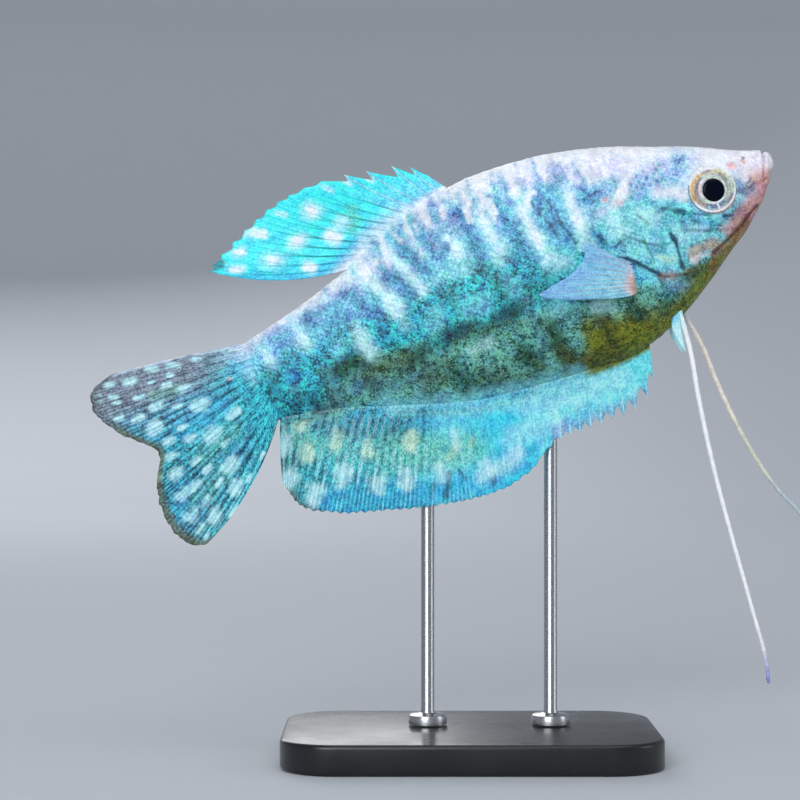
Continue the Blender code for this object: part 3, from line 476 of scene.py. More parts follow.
# Marks of the flank, read in the side view: paint, half width, strength, route of (station, height) points
FLANK_MARKS = (
    # The first two snow strips run along the crest: the pale back with a painted highlight of the light from
    # above
    ("snow", 1.4, 0.9, (16, 9.2), (24, 12.4), (33, 15.2), (42, 16.4), (50, 16.8), (56, 16.0)),
    ("snow", 1.1, 0.6, (62, 14.0), (70, 11.4), (79, 8.8), (90, 6.8)),
    ("ice", 1.2, 0.95, (33.4, 9.2), (33.6, 5.0), (33.9, -0.6)),
    ("snow", 0.7, 0.7, (33.4, 7.4), (33.8, 2.0)),
    ("ice", 1.25, 0.95, (41.7, 10.8), (41.6, 5.0), (41.0, 0.4)),
    ("aqua", 1.9, 0.9, (40.8, -1.0), (38.8, -2.2)),
    ("ice", 1.1, 0.6, (40.8, -0.6), (38.6, -2.2)),
    ("snow", 0.6, 0.6, (41.6, 8.8), (41.3, 2.0)),
    ("ice", 1.3, 0.9, (48.6, 13.2), (48.2, 9.0), (47.7, 3.0)),
    ("snow", 0.6, 0.5, (48.4, 11.4), (48.0, 6.4)),
    ("ice", 1.6, 0.9, (55.0, 9.4), (54.2, 6.8), (54.2, 5.0)),
    ("aqua", 1.4, 0.85, (53.2, 4.4), (59.2, 4.2)),
    ("snow", 0.7, 0.4, (54.8, 9.0), (54.0, 6.0)),
    ("ice", 1.1, 0.7, (60.6, 13.4), (59.6, 8.8)),
    ("ice", 1.1, 0.95, (65.2, 11.4), (63.8, 8.2), (62.9, 5.6), (62.0, 2.8)),
    ("ice", 1.25, 0.95, (70.8, 10.0), (69.2, 7.2), (67.8, 4.8), (67.0, 1.8)),
    ("snow", 0.6, 0.4, (70.2, 9.2), (68.6, 6.4)),
    ("ice", 0.9, 0.5, (67.0, 1.6), (66.8, -1.4)),
    ("ice", 1.2, 0.85, (74.7, 0.6), (74.2, -3.4)),
    ("ice", 1.0, 0.95, (83.7, 5.6), (83.3, 2.0)),
    ("ice", 0.8, 0.85, (90.2, 4.2), (89.8, 1.2)),
    ("ice", 0.8, 0.35, (93.4, 4.0), (93.6, 0.0)),
    ("ice", 1.5, 0.7, (30.2, 3.0), (28.4, 1.8)),
    ("snow", 0.9, 0.7, (78.8, 8.8), (78.0, 7.6)),
    ("aqua", 1.3, 0.75, (60.4, 14.2), (66.0, 12.4)),
    ("sky", 1.2, 0.4, (75.0, 7.2), (82.0, 5.8), (90.0, 4.6)),
    ("sky", 1.0, 0.5, (62.0, 12.6), (67.0, 11.0)),
    ("sky", 2.0, 0.9, (38.2, 9.8), (38.0, 6.4)),
    ("sky", 1.4, 0.9, (37.6, 6.0), (37.0, 3.4), (36.8, 0.8)),
    ("royal", 1.1, 0.5, (38.6, 9.2), (37.8, 6.0), (37.0, 3.4), (36.8, 1.4)),
    ("navy", 0.24, 0.8, (37.4, 9.0), (36.6, 6.4), (36.4, 4.0), (35.9, 1.8), (35.5, 0.2)),
    ("navy", 0.22, 0.75, (39.8, 9.4), (39.0, 6.6), (38.2, 4.4), (37.8, 2.2)),
    ("navy", 0.2, 0.6, (38.8, 7.6), (36.8, 7.0)),
    ("navy", 0.2, 0.6, (38.2, 4.6), (36.4, 4.4)),
    ("sky", 1.5, 0.85, (45.4, 13.0), (44.8, 9.0), (44.2, 5.0), (43.8, 1.0)),
    ("royal", 0.7, 0.7, (45.6, 12.2), (45.0, 9.4), (44.6, 6.4)),
    ("lagoon", 0.8, 0.8, (44.8, 8.0), (44.2, 5.0), (43.9, 1.0), (43.4, -3.0)),
    ("sky", 1.4, 0.85, (51.9, 12.8), (51.3, 9.0), (50.9, 5.0)),
    ("royal", 1.1, 0.9, (51.9, 12.2), (51.3, 9.0), (50.9, 5.8)),
    ("periwinkle", 0.8, 0.8, (49.8, 15.2), (49.3, 12.8)),
    ("mauve", 0.7, 0.6, (52.8, 11.4), (53.0, 10.0)),
    ("sky", 1.4, 0.85, (58.2, 10.8), (56.8, 7.4)),
    ("royal", 1.1, 0.9, (57.8, 10.6), (56.6, 7.6)),
    ("mauve", 0.5, 0.6, (57.6, 10.4), (57.0, 8.0)),
    ("periwinkle", 1.2, 0.7, (53.5, 15.4), (55.0, 13.0)),
    ("royal", 1.1, 0.95, (62.4, 10.6), (61.2, 7.8), (60.2, 5.2)),
    ("periwinkle", 1.0, 0.7, (60.6, 13.4), (59.9, 12.2)),
    ("royal", 1.2, 0.95, (67.0, 8.8), (65.4, 5.8), (64.2, 3.2)),
    ("periwinkle", 0.9, 0.6, (68.0, 10.4), (67.2, 9.2)),
    ("royal", 1.2, 0.9, (73.0, 6.8), (71.8, 3.6), (70.8, 1.0)),
    ("lagoon", 1.1, 0.8, (70.8, 0.6), (70.4, -3.4)),
    ("periwinkle", 1.6, 0.45, (74.6, 7.4), (78.0, 5.6), (81.4, 4.8)),
    ("royal", 1.0, 0.65, (77.2, 6.0), (75.6, 4.0)),
    ("royal", 0.9, 0.75, (81.6, 6.0), (80.8, 4.0)),
    ("lagoon", 1.8, 0.6, (77.0, 1.6), (82.0, 0.2), (91.0, -1.0)),
    ("royal", 1.1, 0.7, (86.6, 3.0), (87.2, -2.4)),
    ("periwinkle", 1.2, 0.6, (86.0, 5.0), (88.4, 5.2)),
    ("night", 1.1, 0.5, (90.8, -0.4), (91.4, -4.0)),
    ("lagoon", 1.3, 0.7, (60.0, 0.6), (64.0, -1.0), (65.6, -2.0)),
    ("teal", 1.1, 0.8, (57.8, 1.0), (58.6, -0.6)),
    ("teal", 1.3, 0.85, (51.2, 2.0), (50.0, -0.8), (49.6, -3.4)),
    ("lagoon", 1.1, 0.8, (46.4, 1.6), (46.6, -0.8)),
    ("teal", 1.0, 0.7, (44.0, -2.4), (45.6, -4.4)),
    ("aqua", 1.6, 0.55, (56.4, -3.6), (54.0, -3.0)),
    ("aqua", 1.2, 0.5, (47.8, -1.2), (48.0, -3.2)),
    ("aqua", 1.3, 0.6, (61.8, -2.2), (62.6, -3.8)),
    ("aqua", 1.2, 0.5, (78.4, -0.6), (79.0, -2.0)),
    ("aqua", 1.6, 0.6, (43.0, -8.2), (40.4, -8.8)),
    ("teal", 1.4, 0.8, (42.0, -4.6), (43.6, -5.6)),
    ("bottle", 1.5, 0.95, (49.2, -6.2), (51.6, -7.2), (54.6, -7.8)),
    ("night", 0.8, 0.8, (49.0, -5.6), (52.4, -6.8)),
    ("bottle", 1.4, 0.95, (57.6, -6.2), (61.2, -6.4)),
    ("night", 0.8, 0.8, (58.2, -5.6), (61.0, -6.0)),
    ("teal", 1.3, 0.7, (63.2, -6.0), (64.4, -5.8)),
    ("bottle", 1.5, 0.95, (66.4, -7.0), (68.2, -7.0)),
    ("umber", 1.6, 0.85, (70.2, -6.2), (73.0, -6.5), (76.0, -6.4)),
    ("bottle", 1.4, 0.95, (76.8, -3.6), (79.8, -4.0)),
    ("navy", 1.3, 0.55, (78.4, -7.6), (75.6, -8.2)),
    ("periwinkle", 0.7, 0.4, (78.0, -7.4), (79.4, -8.0)),
    ("slate", 1.1, 0.85, (82.4, -3.4), (81.9, -8.6)),
    ("navy", 1.3, 0.85, (85.8, -6.4), (85.2, -8.8)),
    ("slate", 0.7, 0.6, (87.8, -3.6), (87.8, -6.0)),
    ("night", 0.9, 0.8, (88.8, -7.2), (90.6, -7.6)),
    ("slate", 1.5, 0.8, (67.4, -10.2), (69.4, -12.0)),
    ("umber", 1.0, 0.6, (66.6, -10.0), (68.0, -12.2)),
    ("sea", 0.9, 0.85, (69.8, -12.2), (74.8, -11.4), (79.8, -10.2)),
    ("slate", 1.2, 0.6, (71.6, -9.6), (75.2, -9.8)),
    ("umber", 1.3, 0.75, (63.6, -10.0), (65.0, -11.6)),
    ("navy", 1.3, 0.95, (68.6, -14.2), (67.4, -15.4), (66.0, -16.0)),
    ("bottle", 1.6, 0.9, (62.0, -12.0), (61.0, -15.2)),
    ("sea", 2.3, 0.85, (53.2, -10.2), (58.4, -10.6)),
    ("ice", 0.8, 0.35, (55.0, -9.6), (58.0, -10.0)),
    ("umber", 1.5, 0.7, (57.4, -14.4), (55.0, -15.4)),
    ("bottle", 1.1, 0.7, (58.4, -16.2), (54.0, -17.4)),
    ("bottle", 1.7, 0.9, (50.6, -13.2), (49.8, -15.2)),
    ("umber", 1.2, 0.6, (49.0, -17.4), (52.0, -17.6)),
    ("slate", 0.9, 0.7, (46.9, -5.6), (46.7, -14.0)),
    ("sea", 0.9, 0.6, (48.4, -9.8), (49.6, -10.8)),
    ("bottle", 1.5, 0.95, (44.4, -11.6), (44.3, -14.4), (44.0, -17.4)),
    ("moss", 1.0, 0.7, (44.6, -15.4), (43.6, -18.4)),
    ("sea", 1.2, 0.5, (42.0, -12.4), (41.4, -16.0)),
    ("sea", 1.7, 0.9, (36.6, -10.8), (33.4, -12.2)),
    ("ice", 0.9, 0.5, (36.4, -10.8), (34.0, -12.2)),
    ("olive", 1.4, 0.95, (38.9, -13.8), (38.7, -17.6)),
    ("moss", 1.2, 0.95, (36.2, -13.8), (35.8, -19.4)),
    ("moss", 0.9, 0.7, (41.4, -18.6), (38.6, -19.6)),
    ("olive", 1.9, 0.95, (33.0, -17.2), (32.0, -18.8)),
    ("bottle", 1.0, 0.95, (31.0, -13.2), (30.5, -14.8)),
    ("umber", 1.4, 0.7, (28.4, -13.6), (27.4, -15.6)),
    ("sea", 0.9, 0.5, (28.8, -12.4), (27.6, -13.6)),
    ("olive", 1.5, 0.6, (29.4, -18.6), (26.0, -18.0)),
    ("steel", 1.3, 0.85, (24.2, -12.6), (21.8, -13.2)),
    ("teal", 0.9, 0.6, (25.4, -13.8), (23.4, -15.0)),
    ("bottle", 1.0, 0.7, (25.6, -15.6), (24.6, -16.6)),
    (
        "aqua", 1.3, 0.8, (44, -20.4), (50, -19.4), (56, -18.5), (62, -17.2), (66, -16.1), (70, -14.4),
        (75, -12.4),
    ),
    ("azure", 0.6, 0.4, (44, -21.0), (50, -20.0), (56, -19.1), (62, -17.8), (66, -16.7), (70, -15.0)),
    ("lagoon", 1.0, 0.8, (76.4, -13.0), (81.0, -11.4)),
)

# Marks of the head and the shoulder
NAPE_CELLS = (
    (23.3, 5.9), (21.6, 5.6), (20.3, 4.9), (19.1, 4.0), (17.9, 5.4), (16.5, 3.3), (16.0, 2.0), (14.8, 5.4),
    (13.6, 6.1), (18.1, 6.8), (21.2, 3.5), (22.6, 7.2), (24.6, 6.8), (17.3, 4.2), (15.6, 4.3), (22.6, 3.9),
)
HEAD_MARKS = (
    ("cover", 4.4, 1.0, (25.0, -1.8), (21.0, -4.8), (14.0, -4.2)),
    # the shell over the snout is its pale top with a painted highlight of the light from above
    ("shell", 3.0, 0.9, (1.0, 0.6), (4.0, 1.4), (7.0, 4.6), (10.0, 5.6)),
    ("rose", 2.0, 0.95, (3.2, -3.6), (6.0, -6.4), (9.0, -7.6)),
    ("pink", 1.3, 0.7, (2.6, -1.6), (5.0, -4.0)),
    # snow along the top of the head: the pale back with a painted highlight of the light from above
    ("snow", 1.6, 0.9, (7.5, 4.2), (12.0, 6.6), (18.0, 9.0), (24.0, 12.0)),
    ("snow", 0.8, 0.85, (6.6, 1.2), (8.7, 3.7), (12.0, 4.3), (14.9, 2.6), (16.0, 0.3)),
    ("periwinkle", 2.1, 0.85, (14.6, 5.4), (18.0, 5.0), (22.6, 5.6)),
    ("sky", 1.4, 0.35, (15.6, 4.0), (18.4, 4.0), (22.0, 4.4)),
    ("snow", 1.0, 0.5, (16.0, 8.2), (23.0, 10.0)),
    *(("periwinkle", 0.72, 0.9, place) for place in NAPE_CELLS),
    *(("azure", 0.35, 0.3, place) for place in NAPE_CELLS),
    ("lilac", 1.0, 0.6, (17.6, 6.6), (23.0, 8.8)),
    ("snow", 1.0, 0.85, (19.8, 2.3), (18.2, 1.8), (16.8, 1.2)),
    ("snow", 0.8, 0.95, (21.5, 8.6), (23.6, 6.8), (25.0, 4.8), (27.0, 4.2)),
    ("snow", 0.7, 0.8, (25.4, 5.0), (26.6, 3.4), (29.4, 3.4)),
    ("periwinkle", 1.9, 0.85, (30.8, 6.8), (29.0, 5.8)),
    ("sky", 1.2, 0.6, (31.0, 6.6), (29.0, 5.6)),
    ("royal", 0.8, 0.5, (31.0, 6.8), (29.2, 5.8)),
    ("navy", 0.2, 0.6, (30.8, 7.8), (30.2, 5.2)),
    ("navy", 0.2, 0.6, (31.6, 6.2), (28.6, 6.6)),
    ("sky", 0.7, 0.85, (26.0, 7.5), (25.8, 6.6)),
    ("pink", 0.45, 0.8, (28.4, 4.8), (28.1, 4.7)),
    ("pink", 0.45, 0.7, (26.5, 3.6), (26.1, 3.4)),
    ("periwinkle", 1.2, 0.7, (34.2, 12.2), (33.6, 10.4)),
    ("periwinkle", 1.0, 0.55, (30.6, 11.8), (29.6, 10.0)),
    ("lilac", 1.6, 0.7, (27.0, 10.2), (24.0, 9.6)),
    ("mauve", 0.3, 0.5, (28.4, 10.6), (27.2, 9.2)),
    ("aqua", 1.8, 0.55, (19.0, -4.6), (16.0, -5.4), (13.6, -5.2)),
    ("ice", 1.3, 0.4, (18.8, -5.4), (15.0, -5.9)),
    ("aqua", 3.4, 0.8, (27.6, -1.0), (26.0, -4.0), (23.4, -7.6)),
    ("aqua", 1.2, 0.7, (21.6, -5.0), (21.6, -8.4)),
    ("aqua", 1.3, 0.6, (24.6, 1.2), (19.0, -0.4)),
    ("turquoise", 1.2, 0.4, (18.6, -1.6), (17.4, -3.2)),
    ("ice", 1.2, 0.5, (28.4, 0.6), (27.4, -2.4)),
    ("ice", 1.0, 0.5, (23.6, 0.2), (21.6, -1.0)),
    ("navy", 0.42, 0.85, (19.8, -0.2), (18.4, -1.2), (17.0, -2.2)),
    ("navy", 0.24, 0.6, (17.0, -2.2), (15.0, -3.4), (13.0, -4.5)),
    ("navy", 0.22, 0.6, (27.6, -1.7), (25.0, -4.4), (22.8, -5.7)),
    ("navy", 0.2, 0.5, (24.4, 0.6), (23.2, -1.7)),
    ("lagoon", 0.7, 0.7, (16.4, -3.2), (14.8, -4.8), (13.0, -6.0)),
    ("navy", 0.3, 0.6, (17.0, -3.4), (15.4, -4.6)),
    ("navy", 0.28, 0.5, (18.4, -4.8), (16.2, -5.8), (14.4, -6.6)),
    ("navy", 0.3, 0.6, (15.0, -6.4), (13.0, -7.0), (11.4, -7.6)),
    ("bottle", 0.25, 0.6, (24.9, -3.8), (24.8, -8.0)),
    ("cream", 0.4, 0.5, (23.6, -7.4), (22.4, -8.6), (21.6, -8.4)),
    ("royal", 0.6, 0.7, (32.4, 0.6), (31.4, -1.2), (30.6, -2.8)),
    ("navy", 0.3, 0.7, (31.8, -0.2), (30.8, -2.0)),
    ("navy", 0.3, 0.8, (29.6, -3.0), (28.6, -2.6)),
    ("navy", 0.36, 0.95, (31.4, -4.4), (29.8, -5.0), (28.6, -5.7), (27.2, -7.2), (26.0, -8.7), (24.6, -10.3)),
    ("sky", 0.7, 0.75, (29.6, -6.4), (27.6, -8.6), (26.2, -10.2)),
    ("brown", 0.4, 0.7, (24.8, -10.4), (23.4, -11.0), (21.4, -11.6), (19.2, -11.6)),
    ("navy", 0.34, 0.95, (20.4, -4.6), (20.2, -6.4), (20.4, -8.4), (20.8, -10.6)),
    ("pink", 0.6, 0.2, (24.2, -10.8), (22.6, -11.2)),
    ("aqua", 0.6, 0.6, (18.6, -7.2), (16.6, -6.9), (15.0, -7.4)),
    ("tan", 0.85, 0.75, (18.4, -9.2), (16.6, -8.7), (14.8, -9.0), (13.6, -9.4)),
    ("shell", 0.4, 0.55, (18.8, -10.3), (17.0, -10.0), (15.4, -10.3)),
    ("brown", 0.24, 0.35, (18.0, -8.0), (16.0, -7.7), (14.4, -8.3)),
    ("moss", 0.9, 0.8, (20.6, -12.4), (18.0, -12.0), (15.6, -11.6)),
    ("olive", 1.2, 0.8, (24.0, -17.0), (19.6, -14.6), (15.6, -12.4)),
    ("bronze", 1.1, 0.85, (15.0, -11.8), (11.6, -10.2), (8.0, -8.2)),
    ("olive", 0.7, 0.6, (15.0, -12.2), (12.0, -10.9)),
    ("lagoon", 0.9, 0.25, (13.6, -6.4), (11.0, -6.0), (9.2, -5.4)),
    ("steel", 0.9, 0.55, (11.4, -5.8), (8.6, -5.6)),
    ("navy", 0.4, 0.7, (10.9, -5.4), (9.8, -5.9)),
    ("navy", 0.36, 0.65, (8.9, -5.5), (8.2, -6.2)),
    ("navy", 0.3, 0.5, (12.6, -6.2), (11.9, -6.9)),
    ("rose", 0.9, 0.8, (11.6, -7.6), (9.0, -6.8), (6.6, -5.6), (4.8, -4.4)),
    ("rose", 1.4, 0.85, (4.4, -4.6), (3.4, -3.2), (2.6, -2.0)),
    ("shell", 0.8, 0.8, (5.4, -1.0), (3.4, -0.6), (1.8, -0.2)),
    ("tan", 0.5, 0.5, (4.6, -1.6), (4.0, -2.0)),
    ("pink", 0.8, 0.5, (3.6, -1.2), (2.4, -1.0)),
    ("steel", 0.9, 0.5, (7.2, -2.4), (5.6, -2.8)),
    ("violet", 0.8, 0.4, (6.8, -3.6), (5.2, -3.6)),
    ("pink", 0.8, 0.4, (5.4, -4.4), (4.0, -3.4)),
    ("lead", 0.24, 0.7, (7.2, -2.2), (6.0, -2.7), (4.9, -2.7), (4.4, -2.2)),
    ("steel", 0.3, 0.6, (7.6, -3.6), (6.2, -3.5), (5.0, -3.2)),
    ("lead", 0.18, 0.6, (5.4, -1.9), (4.8, -1.6), (4.6, -1.3)),
    ("ice", 0.5, 0.5, (7.6, -3.4), (7.0, -3.8)),
    ("brown", 0.26, 0.95, (5.2, -5.8), (7.0, -6.7), (9.0, -7.9), (11.2, -8.9), (13.4, -9.7), (15.4, -10.4)),
    ("brown", 0.5, 0.5, (7.6, -6.9), (10.6, -8.5)),
    ("brown", 0.2, 0.85, (2.3, -2.3), (2.75, -2.6)),
    ("pink", 0.14, 0.8, (2.52, -2.62)),
    ("pink", 0.5, 0.9, (6.9, 1.95), (6.6, 1.5)),
    ("rose", 0.16, 0.5, (7.3, 2.4), (6.4, 2.3), (6.15, 1.7)),
    ("lilac", 0.5, 0.6, (6.8, 0.8), (6.4, 0.5)),
    ("pink", 0.3, 0.8, (4.7, 1.9), (4.5, 1.5)),
    ("steel", 0.16, 0.7, (4.55, 2.4), (4.35, 2.2)),
    ("lilac", 0.12, 0.5, (2.9, 2.8), (2.85, 1.0), (3.1, -0.4)),
    ("mauve", 0.1, 0.35, (1.15, 1.4), (1.4, 0.5), (1.9, -0.7), (2.3, -1.7)),
)
BODY_MARKS = FLANK_MARKS + HEAD_MARKS

MARK_WOBBLE = (0.55, 0.3)  # how far the outline of a mark strays, in wide and in narrow patches
MARK_SOFTNESS = 0.75  # from 0, a crisp outline, to 1, a blurred one


def linear(hex_colour):
    """A scene-linear colour from an sRGB hex value."""
    channels = [int(hex_colour[i : i + 2], 16) / 255 for i in (1, 3, 5)]
    return tuple(c / 12.92 if c <= 0.04045 else ((c + 0.055) / 1.055) ** 2.4 for c in channels)


def paint_values():
    """Each paint as light colour, dark colour and flecks, from the scene's settings."""
    colours = bpy.context.scene.gourami_paints
    values = {}
    for name, (_, _, fleck) in PAINTS.items():
        light, dark = getattr(colours, f"{name}_light"), getattr(colours, f"{name}_dark")
        values[name] = np.array([*light, *dark, fleck])
    return values


def mixed(values, paint, share):
    share = np.clip(share, 0, 1)[:, None]
    return values * (1 - share) + paint * share


def body_ground(s, z, paints):
    """The body's paint before its marks, in bands from the crest to the belly."""
    wobble = 0.9 * patchy(s, z, 3.2, 21) + 0.5 * patchy(s, z, 1.1, 22)
    ground = np.tile(paints[GROUND[0][0]], (len(s), 1))
    for name, line in GROUND[1:]:
        stations, heights = zip(*line)
        below = curve_through(stations, heights, s) - z + wobble
        share = smooth_step(-GROUND_BLEND, GROUND_BLEND, below)[:, None]
        ground = ground * (1 - share) + paints[name] * share
    return ground


def add_marks(values, marks, s, z, paints, softness=MARK_SOFTNESS):
    """Lays marks over the values, each with a ragged, soft outline."""
    wide, narrow = patchy(s, z, 1.7, 31), patchy(s, z, 0.55, 32)
    for name, width, strength, *route in marks:
        stations, heights = zip(*route)
        margin = 2.6 * width + 0.2
        near = (s > min(stations) - margin) & (s < max(stations) + margin)
        near &= (z > min(heights) - margin) & (z < max(heights) + margin)
        if not near.any():
            continue
        stray = min(1.0, width) * (MARK_WOBBLE[0] * wide[near] + MARK_WOBBLE[1] * narrow[near])
        away = distance_to(route, s[near], z[near]) + stray
        soft = softness * min(1.0, width)
        share = (strength * smooth_step(width * (1.35 + soft), width * (0.5 - 0.5 * soft), away))[:, None]
        values[near] = values[near] * (1 - share) + paints[name] * share
    return values


def body_paint(s, z, paints):
    """The paint of the body at places of the side view, with the fine streaks that run up the flank."""
    values = add_marks(body_ground(s, z, paints), BODY_MARKS, s, z, paints)
    upper = smooth_step(6.0, 11.0, z) * smooth_step(14.0, 20.0, s)
    streak = (0.8 * patchy(s + 0.1 * z, z / 4.0, 1.4, 45) + 0.45 * patchy(s, z / 2.4, 0.6, 46)) * upper
    values = mixed(values, paints["snow"], 0.8 * smooth_step(0.05, 0.6, streak))
    values = mixed(values, paints["periwinkle"], 0.75 * smooth_step(0.1, 0.65, -streak))
    cloud = 0.6 * patchy(s, z, 1.9, 41) + 0.5 * patchy(s, z, 0.8, 42)
    values[:, :6] *= (1 + 0.15 * cloud)[:, None]
    deep = 0.5 * smooth_step(0.1, 0.9, -cloud) * np.clip((values[:, 2] - values[:, 0]) * 2, 0, 1)
    return mixed(values, paints["lagoon"], deep)


def store_paint(mesh, values):
    """Keeps each vertex's paint on the mesh, where the materials read it."""
    for name, columns in (("Light", values[:, :3]), ("Dark", values[:, 3:6])):
        layer = mesh.attributes.new(name, "FLOAT_COLOR", "POINT")
        full = np.ones((len(columns), 4), np.float32)
        full[:, :3] = np.clip(columns, 0, 1)
        layer.data.foreach_set("color", full.ravel())
    layer = mesh.attributes.new("Fleck", "FLOAT", "POINT")
    layer.data.foreach_set("value", np.clip(values[:, 6], 0, 1).astype(np.float32))


def deselect_all():
    for obj in bpy.context.selected_objects:
        obj.select_set(False)


def added(name):
    """The object that the last primitive made, under its name."""
    piece = bpy.context.active_object
    piece.name = name
    piece.data.name = name
    piece.matrix_world.identity()
    return piece


def vertex_places(mesh):
    places = np.empty(len(mesh.vertices) * 3)
    mesh.vertices.foreach_get("co", places)
    return places.reshape(-1, 3)


def move_vertices(mesh, places):
    mesh.vertices.foreach_set("co", np.asarray(places, np.float32).ravel())
    mesh.update()


def face_outwards(piece):
    bm = bmesh.new()
    bm.from_mesh(piece.data)
    bm.normal_update()
    bmesh.ops.recalc_face_normals(bm, faces=bm.faces)
    bm.to_mesh(piece.data)
    bm.free()
    piece.data.update()


def finish_piece(piece, nodes=(), smooth=True):
    """Gives a finished piece to the frame: its body and the CAD nodes that it stands for."""
    if smooth:
        piece.data.shade_smooth()
    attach(piece, "root")
    if nodes:
        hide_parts(*nodes)


def put_material(piece, material):
    piece.data.materials.clear()
    piece.data.materials.append(material)


def feed(material, node, inputs):
    """Gives a node's sockets a value each, or another node's output."""
    for key, value in inputs.items():
        if isinstance(value, bpy.types.NodeSocket):
            material.node_tree.links.new(value, node.inputs[key])
        else:
            node.inputs[key].default_value = value


def add_node(material, kind, inputs=None, output=0, **settings):
    """Adds a node with its settings and links, and returns one of its outputs."""
    node = material.node_tree.nodes.new("ShaderNode" + kind)
    for name, value in settings.items():
        setattr(node, name, value)
    feed(material, node, inputs or {})
    return node.outputs[output]


def new_material(name):
    material = bpy.data.materials.new(name)
    material.use_nodes = True
    return material


def shade(material, inputs):
    """Feeds the material's shader."""
    feed(material, material.node_tree.nodes["Principled BSDF"], inputs)


def grain_material(name, grain_mm, roughness, coat, stretched=False, bump=0.02, drift=(0.458, 0.518)):
    """A living surface in its painted colours: dark pigment grain and veins, drifting hue, painted glints of
    light and flecks.

    The grain is about half a millimetre, which is the finest that shows in the picture.
    """
    material = new_material(name)
    if stretched:
        where = add_node(material, "UVMap", uv_map="RayMap")
    else:
        where = add_node(material, "TexCoord", output="Object")
    per_unit = (1.0 if stretched else 1000.0) / grain_mm
    light = add_node(material, "Attribute", attribute_name="Light")
    dark = add_node(material, "Attribute", attribute_name="Dark")
    fleck = add_node(material, "Attribute", output="Fac", attribute_name="Fleck")
    smooth = {"interpolation_type": "SMOOTHSTEP"}

    # dark pigment in fine grains that gather in clumps, and veins between them
    fine = add_node(material, "TexNoise", {"Vector": where, "Scale": per_unit, "Detail": 1.2})
    clumps = add_node(material, "TexNoise", {"Vector": where, "Scale": per_unit / 3.4, "Detail": 1.5})
    pigment = add_node(material, "Math", {0: clumps, 1: 0.7, 2: fine}, operation="MULTIPLY_ADD")
    grain = add_node(material, "MapRange", {"Value": pigment, "From Min": 0.66, "From Max": 1.08}, **smooth)
    course = add_node(material, "TexNoise", {"Vector": where, "Scale": per_unit * 0.5, "Detail": 1.0})
    offset = add_node(material, "Math", {0: course, 1: 0.5}, operation="SUBTRACT")
    offset = add_node(material, "Math", {0: offset}, operation="ABSOLUTE")
    veins = add_node(material, "MapRange", {"Value": offset, "From Min": 0.04, "From Max": 0.0}, **smooth)
    place = add_node(material, "MapRange", {"Value": clumps, "From Min": 0.42, "From Max": 0.6}, **smooth)
    veins = add_node(material, "Math", {0: veins, 1: place}, operation="MULTIPLY")
    veins = add_node(material, "Math", {0: veins, 1: 0.9}, operation="MULTIPLY")
    darkness = add_node(material, "Math", {0: grain, 1: veins}, operation="MAXIMUM")
    colour = add_node(material, "Mix", {0: darkness, 6: light, 7: dark}, 2, data_type="RGBA")

    # the hue drifts over a few millimetres
    drifting = add_node(material, "TexNoise", {"Vector": where, "Scale": per_unit / 4.6, "Detail": 2.0})
    low, high = drift
    hue = add_node(
        material, "MapRange",
        {"Value": drifting, "From Min": 0.3, "From Max": 0.7, "To Min": low, "To Max": high}, **smooth,
    )
    colour = add_node(material, "HueSaturation", {"Hue": hue, "Color": colour})

    # painted glints: bright specks of the light tone screened over the colour, as light caught by the skin's
    # guanine, and yellow flecks where the paint has them
    cells = add_node(material, "TexVoronoi", {"Vector": where, "Scale": per_unit * 0.85})
    bright = add_node(
        material, "MapRange", {"Value": cells, "From Min": 0.5, "From Max": 0.12, "To Max": 0.55}, **smooth,
    )
    some = add_node(material, "Math", {0: cells.node.outputs["Color"], 1: 0.5}, operation="GREATER_THAN")
    glint = add_node(material, "Math", {0: bright, 1: some}, operation="MULTIPLY")
    colour = add_node(
        material, "Mix", {0: glint, 6: colour, 7: light}, 2, data_type="RGBA", blend_type="SCREEN",
    )
    dots = add_node(material, "TexVoronoi", {"Vector": where, "Scale": per_unit * 0.8})
    chance = add_node(material, "Math", {0: clumps, 1: 0.95}, operation="MULTIPLY")
    chance = add_node(material, "Math", {0: fleck, 1: chance}, operation="MULTIPLY")
    rare = add_node(material, "Math", {0: chance, 1: dots.node.outputs["Color"]}, operation="GREATER_THAN")
    dot = add_node(
        material, "MapRange", {"Value": dots, "From Min": 0.38, "From Max": 0.12, "To Max": 0.6}, **smooth,
    )
    dot = add_node(material, "Math", {0: dot, 1: rare}, operation="MULTIPLY")
    yellow = (*linear(FLECK_COLOUR), 1.0)
    colour = add_node(material, "Mix", {0: dot, 6: colour, 7: yellow}, 2, data_type="RGBA")

    low, high = roughness - 0.06, roughness + 0.1
    rough = add_node(
        material, "MapRange",
        {"Value": fine, "From Min": 0.3, "From Max": 0.7, "To Min": low, "To Max": high}, **smooth,
    )
    raised = add_node(material, "Bump", {"Height": pigment, "Strength": 0.35, "Distance": bump * MM})
    shade(material, {
        "Base Color": colour, "Roughness": rough, "Normal": raised, "IOR": 1.37, "Coat Weight": coat,
        "Coat Roughness": 0.18,
    })
    return material


def unwrap_place(s, angle):
    """A place on the unwrap of the skin's shape: along the body, and around it from the back's ridge."""
    return 0.01 + 0.98 * s / BODY_LENGTH, 0.01 + 0.98 * ((angle / (2 * math.pi)) % 1.0)


def build_skin(paints):
    """One skin from the snout to the tail, without a seam."""
    deselect_all()
    bpy.ops.mesh.primitive_uv_sphere_add(segments=SKIN_SIDES, ring_count=SKIN_RINGS, radius=1)
    skin = added("skin")
    unit = vertex_places(skin.data)
    share = np.arccos(np.clip(unit[:, 2], -1, 1)) / math.pi
    s = np.clip(curve_through(*zip(*RING_PLAN), share), 0, BODY_LENGTH)
    angle = np.arctan2(unit[:, 1], unit[:, 0])
    points = flesh_points(s, angle)
    move_vertices(skin.data, to_row(points))
    store_paint(skin.data, body_paint(*seen_from_side(points), paints))
    face_outwards(skin)
    finish_piece(skin, ("head", "lower_jaw", "trunk", "tail_stalk"))
    return skin


